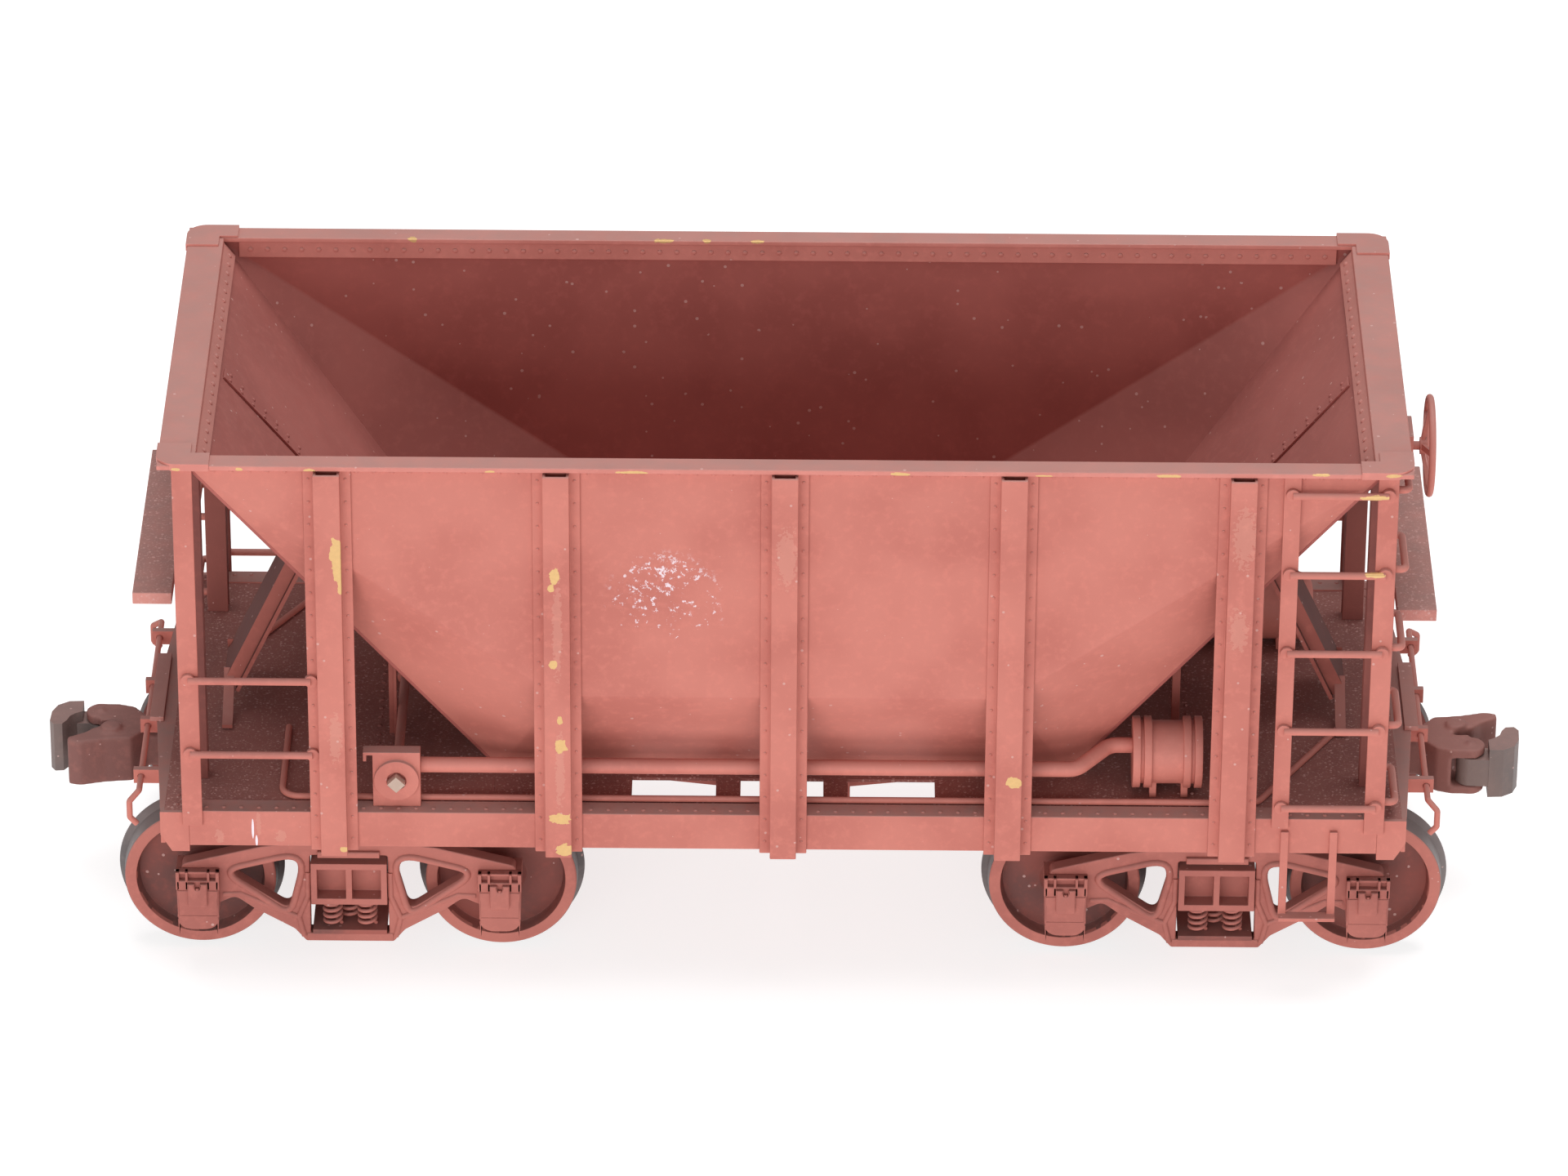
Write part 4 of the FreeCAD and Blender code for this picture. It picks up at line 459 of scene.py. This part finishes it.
def slope_brace_pair():
    """Brace, trimmed to the slope sheet, and its straps, at both ends of the car."""
    way = (brace_head - brace_foot).normalized()
    out = Vector((way.z, 0, -way.x))
    half, deep, lip, thick = BRACE_HALF, BRACE_DEEP, BRACE_LIP, BRACE_THICK
    hat = [(-half, 0), (half, 0), (half, thick - deep), (half + lip, thick - deep), (half + lip, -deep),
           (half - thick, -deep), (half - thick, -thick), (-half + thick, -thick), (-half + thick, -deep),
           (-half - lip, -deep), (-half - lip, thick - deep), (-half, thick - deep)]
    bm = bmesh.new()
    bar_between(bm, brace_foot, brace_head + way * BRACE_SPARE, hat, out)
    whole = bm.verts[:] + bm.edges[:] + bm.faces[:]
    cut = bmesh.ops.bisect_plane(bm, geom=whole, plane_co=(SLOPE_FOOT_X, 0, DECK_TOP),
                                 plane_no=(1, 0, -SLOPE_RUN), clear_inner=True)
    rim = [e for e in cut["geom_cut"] if isinstance(e, bmesh.types.BMEdge)]
    bmesh.ops.contextual_create(bm, geom=rim)
    for side in (-1, 1):
        line = [(side * 3.3, 28.6), (side * 3.9, 27.6), (side * 8.0, 24.5), (side * 9.2, 24.3)]
        rings = []
        for y, z in line:
            rings.append([bm.verts.new((x, y, z + lift)) for x, lift in STRAP_SECTION])
        for low, high in zip(rings, rings[1:]):
            for k in range(4):
                bm.faces.new((low[k], low[(k + 1) % 4], high[(k + 1) % 4], high[k]))
        bm.faces.new(rings[0][::-1])
        bm.faces.new(rings[-1])
    copy = bmesh.ops.duplicate(bm, geom=bm.verts[:] + bm.edges[:] + bm.faces[:])
    for vert in [v for v in copy["geom"] if isinstance(v, bmesh.types.BMVert)]:
        vert.co.x = -vert.co.x
    return bm


brace_painted_shade = oxide_paint("brace_painted_shade", (0.135, 0.040, 0.033, 1), (0.105, 0.032, 0.027, 1), dust=0.0,
                          grains=0.06, roughness=0.85)
braces = dress(shaped("slope_brace_pair", slope_brace_pair()), "slope_braces", "car_body",
               brace_paint)
braces.data.materials.append(brace_painted_shade)
# Faces turned out from the hopper take the dark paint as painted shade.
for face in braces.data.polygons:
    outward = face.normal.x if face.center.x > 0 else -face.normal.x
    face.material_index = 1 if outward > 0.6 else 0
dress(eased("slope_stanchions", 0.08), "slope_stanchions", "car_body", brace_paint)

# ---- Ladders, grab irons, boards and steps --------------------------------------
# Round wire rungs flattened at their ends, a strip stile, bent end irons, plank end boards and
# strap stirrups.
iron_chips = [((66.0, -29.2, 67.1), (1.5, 0.8, 0.3)), ((66.4, -29.2, 57.2), (1.2, 0.8, 0.3))]
iron_paint = oxide_paint("iron_paint", dust=0.5, chips=iron_chips, grains=0.05)
board_paint = oxide_paint("end_board_paint", (0.60, 0.260, 0.220, 1), (0.50, 0.200, 0.170, 1), dust=0.8,
                          grains=0.42, hairs=True, roughness=0.75, grain_depth=0.04)
for node in ("side_ladders", "end_grab_irons", "stirrup_steps"):
    dress(eased(node, 0.07), node, "car_body", iron_paint)
boards = dress(eased("end_boards", 0.12), "end_boards", "car_body", board_paint)
BOARD_SHIFT = 1.1                # towards the posts
RIGHT_SAG = 1.0                  # the right board hangs lower
for vertex in boards.data.vertices:
    if abs(vertex.co.x) > 69.6 * MM:
        vertex.co.z -= RIGHT_SAG * MM if vertex.co.x > 0 else 0.0
        vertex.co.x -= math.copysign(BOARD_SHIFT * MM, vertex.co.x)

# ---- Air brake ------------------------------------------------------------------
# Turned cylinder and reservoir on saddles, a pipe from the winding gear and a thin train line.
vessel_paint = oxide_paint("vessel_paint", (0.60, 0.200, 0.158, 1), (0.52, 0.162, 0.128, 1), dust=0.35,
                           grains=0.05)
for node, edge in (("brake_cylinder", 0.10), ("air_reservoir", 0.10), ("air_pipe", 0.05),
                   ("train_line", 0.05)):
    dress(eased(node, edge), node, "car_body", vessel_paint)

# ---- Outlet, drop doors and winding shaft -----------------------------------------
# Doors hang on rods from ears under the outlet; a shaft across the deck wound them up by chain.
for node, body in (("outlet_frame", "car_body"), ("drop_door_left", "door_left"),
                   ("drop_door_right", "door_right")):
    dress(eased(node, 0.06), node, body, brace_paint)
dress(eased("shaft_bearings", 0.14), "shaft_bearings", "car_body", sill_paint)
square_end = [((-44.2, -27.6, 27.9), (1.3, 0.8, 1.3))]
shaft_paint = oxide_paint("winding_shaft_paint", dust=0.6, chips=square_end,
                          metal=(0.52, 0.38, 0.31, 1))
dress(eased("winding_shaft", 0.08), "winding_shaft", "shaft", shaft_paint)

# ---- Couplers ---------------------------------------------------------------------
# Lost-wax castings: the shank turns in its draft box, and the knuckle swings on a pin.
cast_paint = oxide_paint("coupler_paint", (0.27, 0.104, 0.086, 1), (0.20, 0.080, 0.069, 1), dust=0.25,
                         grains=0.15, roughness=0.6, grain_depth=0.05)
knuckle_paint = oxide_paint("knuckle_metal_finish", (0.20, 0.135, 0.120, 1), (0.135, 0.110, 0.105, 1),
                            dust=0.5, grains=0.12, roughness=0.5, grain_depth=0.05)


def cast(piece, grain):
    """Melt the edges as a worn casting's are."""
    melt = piece.modifiers.new("melt", "REMESH")
    melt.mode = "VOXEL"
    melt.voxel_size = grain * MM
    melt.use_smooth_shade = True
    soften = piece.modifiers.new("soften", "SMOOTH")
    soften.factor = 0.5
    soften.iterations = 3
    return piece


dress(eased("draft_boxes", 0.10), "draft_boxes", "car_body", brace_paint)
for side in ("left", "right"):
    mark = side[0]
    dress(cast(eased("coupler_" + side, 0.30), 0.25), "coupler_" + side, "coupler_" + mark,
          cast_paint)
    dress(eased("knuckle_" + side, 0.30), "knuckle_" + side, "knuckle_" + mark,
          knuckle_paint)
    dress(eased("uncoupling_lever_" + side, 0.03), "uncoupling_lever_" + side, "lever_" + mark,
          iron_paint)

# ---- Hand brake ---------------------------------------------------------------------
# A dished cast wheel on a gear box under the end chord.
dress(eased("brake_housing", 0.12), "brake_housing", "car_body", sill_paint)
dress(eased("brake_wheel", 0.06), "brake_wheel", "hand_brake", iron_paint)

# ---- Truck side frames --------------------------------------------------------------
# Cast truss frames with a rounded lip round each window, and journal boxes with a hood and a lid.
TRUCK_X = 50.16
HALF_BASE = 34.925 / 2
# The truck paint is darker than the body's: painted shade under the car.
truck_paint = oxide_paint("truck_paint", (0.43, 0.138, 0.110, 1), (0.34, 0.102, 0.082, 1), dust=0.42,
                          grains=0.05)


def rounded(corners):
    """Outline from corners, each with its own radius, in order round the shape."""
    points = []
    for i, (x, z, radius) in enumerate(corners):
        corner = Vector((x, z))
        way_in = (corner - Vector(corners[i - 1][:2])).normalized()
        way_out = (Vector(corners[(i + 1) % len(corners)][:2]) - corner).normalized()
        turn = way_in.angle(way_out)
        reach = radius * math.tan(turn / 2)
        steps = max(1, int(math.degrees(turn) / 12))
        start = corner - way_in * reach
        end = corner + way_out * reach
        for k in range(steps + 1):
            t = k / steps
            points.append(start * (1 - t) ** 2 + corner * 2 * t * (1 - t) + end * t ** 2)
    return [(p.x, p.y) for p in points]


def cast_plate(bm, outlines, y0, y1, edge):
    """Add a plate with rounded edges between two y values; outlines after the first are holes."""
    curve = bpy.data.curves.new("outline", "CURVE")
    curve.dimensions = "2D"
    curve.fill_mode = "BOTH"
    curve.extrude = abs(y1 - y0) / 2 - edge
    curve.bevel_depth = edge
    curve.bevel_resolution = 2
    curve.offset = -edge
    for outline in outlines:
        spline = curve.splines.new("POLY")
        spline.points.add(len(outline) - 1)
        for point, (x, z) in zip(spline.points, outline):
            point.co = (x, z, 0, 1)
        spline.use_cyclic_u = True
    holder = bpy.data.objects.new("outline", curve)
    mesh = bpy.data.meshes.new_from_object(holder)
    mesh.transform(Matrix.Translation((0, (y0 + y1) / 2, 0)) @ Matrix.Rotation(math.radians(90), 4, "X"))
    bm.from_mesh(mesh)
    bpy.data.objects.remove(holder)
    bpy.data.curves.remove(curve)
    bpy.data.meshes.remove(mesh)
    bmesh.ops.remove_doubles(bm, verts=bm.verts, dist=0.0005)


def bead(bm, points, radius, squash=1.0, closed=True, sides=10):
    """Add a round bar along points, squashed in y."""
    rings = []
    count = len(points)
    for i, point in enumerate(points):
        before = Vector(points[i - 1] if closed or i else points[0])
        after = Vector(points[(i + 1) % count] if closed or i < count - 1 else points[-1])
        way = (after - before).normalized()
        side = way.cross(Vector((0, 1, 0)))
        side = side.normalized() if side.length > 0.05 else Vector((1, 0, 0))
        lift = side.cross(way).normalized() * squash
        ring = []
        for k in range(sides):
            angle = 2 * math.pi * k / sides
            across = side * math.cos(angle) + lift * math.sin(angle)
            ring.append(bm.verts.new(Vector(point) + across * radius))
        rings.append(ring)
    pairs = list(zip(rings, rings[1:]))
    if closed:
        pairs.append((rings[-1], rings[0]))
    for low, high in pairs:
        for k in range(sides):
            bm.faces.new((low[k], low[(k + 1) % sides], high[(k + 1) % sides], high[k]))
    if not closed:
        bm.faces.new(rings[0][::-1])
        bm.faces.new(rings[-1])


def slab(bm, x0, x1, y0, y1, z0, z1, edge=0.08):
    cast_plate(bm, [[(x0, z0), (x1, z0), (x1, z1), (x0, z1)]], y0, y1, edge)


def both_sides(bm):
    """Copy everything to the other side of the car."""
    copy = bmesh.ops.duplicate(bm, geom=bm.verts[:] + bm.edges[:] + bm.faces[:])
    verts = [v for v in copy["geom"] if isinstance(v, bmesh.types.BMVert)]
    faces = [f for f in copy["geom"] if isinstance(f, bmesh.types.BMFace)]
    for vert in verts:
        vert.co.y = -vert.co.y
    bmesh.ops.reverse_faces(bm, faces=faces)


def mirrored(corners):
    """Half an outline, from the bottom middle to the top middle, made whole."""
    return corners + [(-x, z, r) for x, z, r in reversed(corners)]


def truck_frames():
    bm = bmesh.new()
    outline = mirrored([(5.1, 3.3, 0.3), (6.4, 4.9, 0.8), (11.2, 7.75, 1.5), (13.2, 9.3, 1.2),
                        (15.0, 8.4, 0.8), (19.3, 8.2, 0.4), (19.36, 13.6, 0.9), (10.2, 16.0, 2.5),
                        (6.0, 16.6, 2.0)])
    spring_window = rounded(mirrored([(4.55, 4.4, 0.15), (4.5, 14.9, 0.35)]))
    windows = []
    for end in (-1, 1):
        window = rounded([(end * 14.2, 12.75, 0.95), (end * 5.0, 15.1, 1.9), (end * 6.9, 7.55, 0.95)])
        windows.append(window)
        ring = rounded([(end * 14.9, 12.8, 1.3), (end * 4.75, 15.5, 2.2), (end * 6.85, 6.75, 1.3)])
        bead(bm, [(x, -21.95, z) for x, z in ring], 0.42, 0.9)
    cast_plate(bm, [rounded(outline), spring_window] + windows, -22.0, -20.2, 0.16)
    for end in (-1, 1):
        bead(bm, [(end * 4.75, -21.95, 12.6), (end * 4.8, -22.0, 9.4), (end * 5.9, -22.05, 6.6),
                  (end * 5.3, -22.0, 4.0)], 0.33, 0.8, closed=False)
        bead(bm, [(end * 5.9, -22.05, 6.6), (end * 9.0, -22.0, 7.9), (end * 12.6, -21.95, 9.7),
                  (end * 14.6, -22.0, 9.6)], 0.30, 0.8, closed=False)
        middle = end * HALF_BASE
        box = rounded([(middle - 2.35, 5.7, 1.7), (middle + 2.35, 5.7, 1.7), (middle + 2.45, 12.1, 0.1),
                       (middle - 2.45, 12.1, 0.1)])
        cast_plate(bm, [box], -23.3, -19.2, 0.18)
        low = rounded([(middle - 2.3, 5.75, 1.7), (middle + 2.3, 5.75, 1.7), (middle + 2.3, 7.35, 0.1),
                       (middle - 2.3, 7.35, 0.1)])
        cast_plate(bm, [low], -23.42, -22.5, 0.1)
        slab(bm, middle - 2.3, middle + 2.3, -23.42, -22.5, 7.45, 10.8)
        slab(bm, middle - 2.5, middle + 2.5, -22.55, -19.2, 11.6, 13.1)
        for place, width in ((-2.3, 0.4), (-1.25, 0.3), (1.25, 0.3), (2.3, 0.4)):
            slab(bm, middle + place - width / 2, middle + place + width / 2, -23.3, -22.4, 10.9, 13.2, 0.06)
        slab(bm, middle - 2.5, middle + 2.5, -23.1, -22.2, 12.9, 13.2, 0.06)
        lid = [(-1.1, 8.8, 0.4), (1.1, 8.8, 0.4), (1.15, 11.9, 0.1), (0.32, 11.9, 0.05), (0.28, 11.1, 0.2),
               (-0.28, 11.1, 0.2), (-0.32, 11.9, 0.05), (-1.15, 11.9, 0.1)]
        cast_plate(bm, [rounded([(middle + x, z, r) for x, z, r in lid])], -23.8, -23.2, 0.12)
        bead(bm, [(middle, -23.55, 11.3), (middle, -23.6, 10.2)], 0.22, closed=False)
    slab(bm, -3.6, 3.6, -22.45, -20.6, 14.75, 15.6, 0.2)
    slab(bm, -5.0, 5.0, -22.1, -20.1, 3.35, 4.4, 0.12)
    both_sides(bm)
    return bm


for side, place in (("left", -TRUCK_X), ("right", TRUCK_X)):
    bm = truck_frames()
    bm.transform(Matrix.Translation((place, 0, 0)))
    dress(shaped("truck_frames_" + side, bm), "side_frames_" + side, "truck_" + side[0],
          truck_paint)

# ---- Truck bolsters, planks and springs -----------------------------------------------
# A ribbed bolster rides on coil springs, which shorten as the truck rises; the plank below them is
# black with oily dirt.
dirty_paint = oxide_paint("dirty_truck_paint", (0.33, 0.090, 0.070, 1), (0.15, 0.060, 0.052, 1), dust=0.4)
for side in ("left", "right"):
    mark = side[0]
    dress(eased("spring_plank_" + side, 0.08), "spring_plank_" + side, "truck_" + mark,
          dirty_paint)
    coils = dress(eased("springs_" + side, 0.0001, 170), "springs_" + side, "truck_" + mark,
                  truck_paint)
    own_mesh(coils)
    dress(eased("truck_bolster_" + side, 0.12), "truck_bolster_" + side, "bolster_" + mark,
          truck_paint)

# ---- Wheels and axles --------------------------------------------------------------------
# Turned wheels pressed on their axles: blackened treads, a red rim, and a dished web
# painted darker as painted shade.
AXLE_Z = 9.63
# The web's darker paint is painted shade under the car.
web_paint = oxide_paint("wheel_web_painted_shade", (0.240, 0.062, 0.048, 1), (0.125, 0.048, 0.042, 1), dust=0.25)
ring_paint = oxide_paint("wheel_rim_paint", (0.46, 0.150, 0.118, 1), (0.38, 0.115, 0.092, 1), dust=0.3)
tread_metal = oxide_paint("wheel_tread_metal", (0.180, 0.148, 0.145, 1), (0.090, 0.078, 0.078, 1), dust=0.1,
                          roughness=0.45)
for number in range(1, 5):
    low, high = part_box("axle_%d" % number)
    middle = (low.x + high.x) / 2 / MM
    body = "wheelset_%d" % number
    wheels = dress(eased("wheels_%d" % number, 0.06, 40), "wheels_%d" % number, body,
                   web_paint)
    wheels.data.materials.append(ring_paint)
    wheels.data.materials.append(tread_metal)
    for face in wheels.data.polygons:
        corners = [wheels.data.vertices[v].co for v in face.vertices]
        radius = min(math.hypot(c.x / MM - middle, c.z / MM - AXLE_Z) for c in corners)
        if radius > 8.65 and abs(face.center.y) < 18.2 * MM:
            face.material_index = 2
        elif radius > 7.35:
            face.material_index = 1
    dress(eased("axle_%d" % number, 0.08), "axle_%d" % number, body, tread_metal)

# ---- Floor, light and camera -----------------------------------------------------------
# A pale floor, one broad soft light low in front, a weak one above and an even sky.
floor_mesh = bpy.data.meshes.new("floor")
floor_mesh.from_pydata([(-4, -4, 0), (4, -4, 0), (4, 4, 0), (-4, 4, 0)], [], [(0, 1, 2, 3)])
floor = bpy.data.objects.new("floor", floor_mesh)
bpy.context.scene.collection.objects.link(floor)
floor_finish = bpy.data.materials.new("floor_finish")
floor_finish.use_nodes = True
floor_shader = floor_finish.node_tree.nodes["Principled BSDF"]
floor_shader.inputs["Base Color"].default_value = (0.45, 0.44, 0.44, 1)
floor_shader.inputs["Roughness"].default_value = 0.9
floor_shader.inputs["Specular IOR Level"].default_value = 0.1
floor_shader.inputs["Emission Color"].default_value = (1, 1, 1, 1)
floor_shader.inputs["Emission Strength"].default_value = 0.75
floor_mesh.materials.append(floor_finish)


def softbox(name, place, aim, width, height, power):
    lamp = bpy.data.lights.new(name, "AREA")
    lamp.shape = "RECTANGLE"
    lamp.size = width
    lamp.size_y = height
    lamp.energy = power
    box = bpy.data.objects.new(name, lamp)
    box.location = place
    box.rotation_euler = (Vector(aim) - Vector(place)).to_track_quat("-Z", "Y").to_euler()
    bpy.context.scene.collection.objects.link(box)


softbox("front_light", (-0.25, -1.30, 0.30), (0, 0, 0.04), 1.6, 0.50, 10.0)
softbox("top_light", (0.1, 0.10, 1.3), (0, 0, 0.04), 1.0, 1.0, 14)
sky = bpy.data.worlds.new("sky")
sky.use_nodes = True
sky.node_tree.nodes["Background"].inputs["Color"].default_value = (1, 1, 1, 1)
sky.node_tree.nodes["Background"].inputs["Strength"].default_value = 0.35
bpy.context.scene.world = sky
bpy.context.scene.view_settings.view_transform = "Standard"

ELEVATION = math.radians(29.7)
TURN = math.radians(0.13)
ROLL = math.radians(0.36)
DISTANCE = 1.01675
aim = Vector((-0.00012, 0, 0.03836))
back = Vector((math.sin(TURN) * math.cos(ELEVATION), -math.cos(TURN) * math.cos(ELEVATION),
               math.sin(ELEVATION)))
level = (-back).cross(Vector((0, 0, 1))).normalized()
upright = level.cross(-back)
right = level * math.cos(ROLL) + upright * math.sin(ROLL)
up = upright * math.cos(ROLL) - level * math.sin(ROLL)
lens = bpy.data.cameras.new("camera")
lens.lens = 200.7
lens.sensor_width = 36
camera = bpy.data.objects.new("camera", lens)
facing = Matrix((right, up, back)).transposed().to_4x4()
camera.matrix_world = Matrix.Translation(aim + back * DISTANCE) @ facing
bpy.context.scene.collection.objects.link(camera)
bpy.context.scene.camera = camera
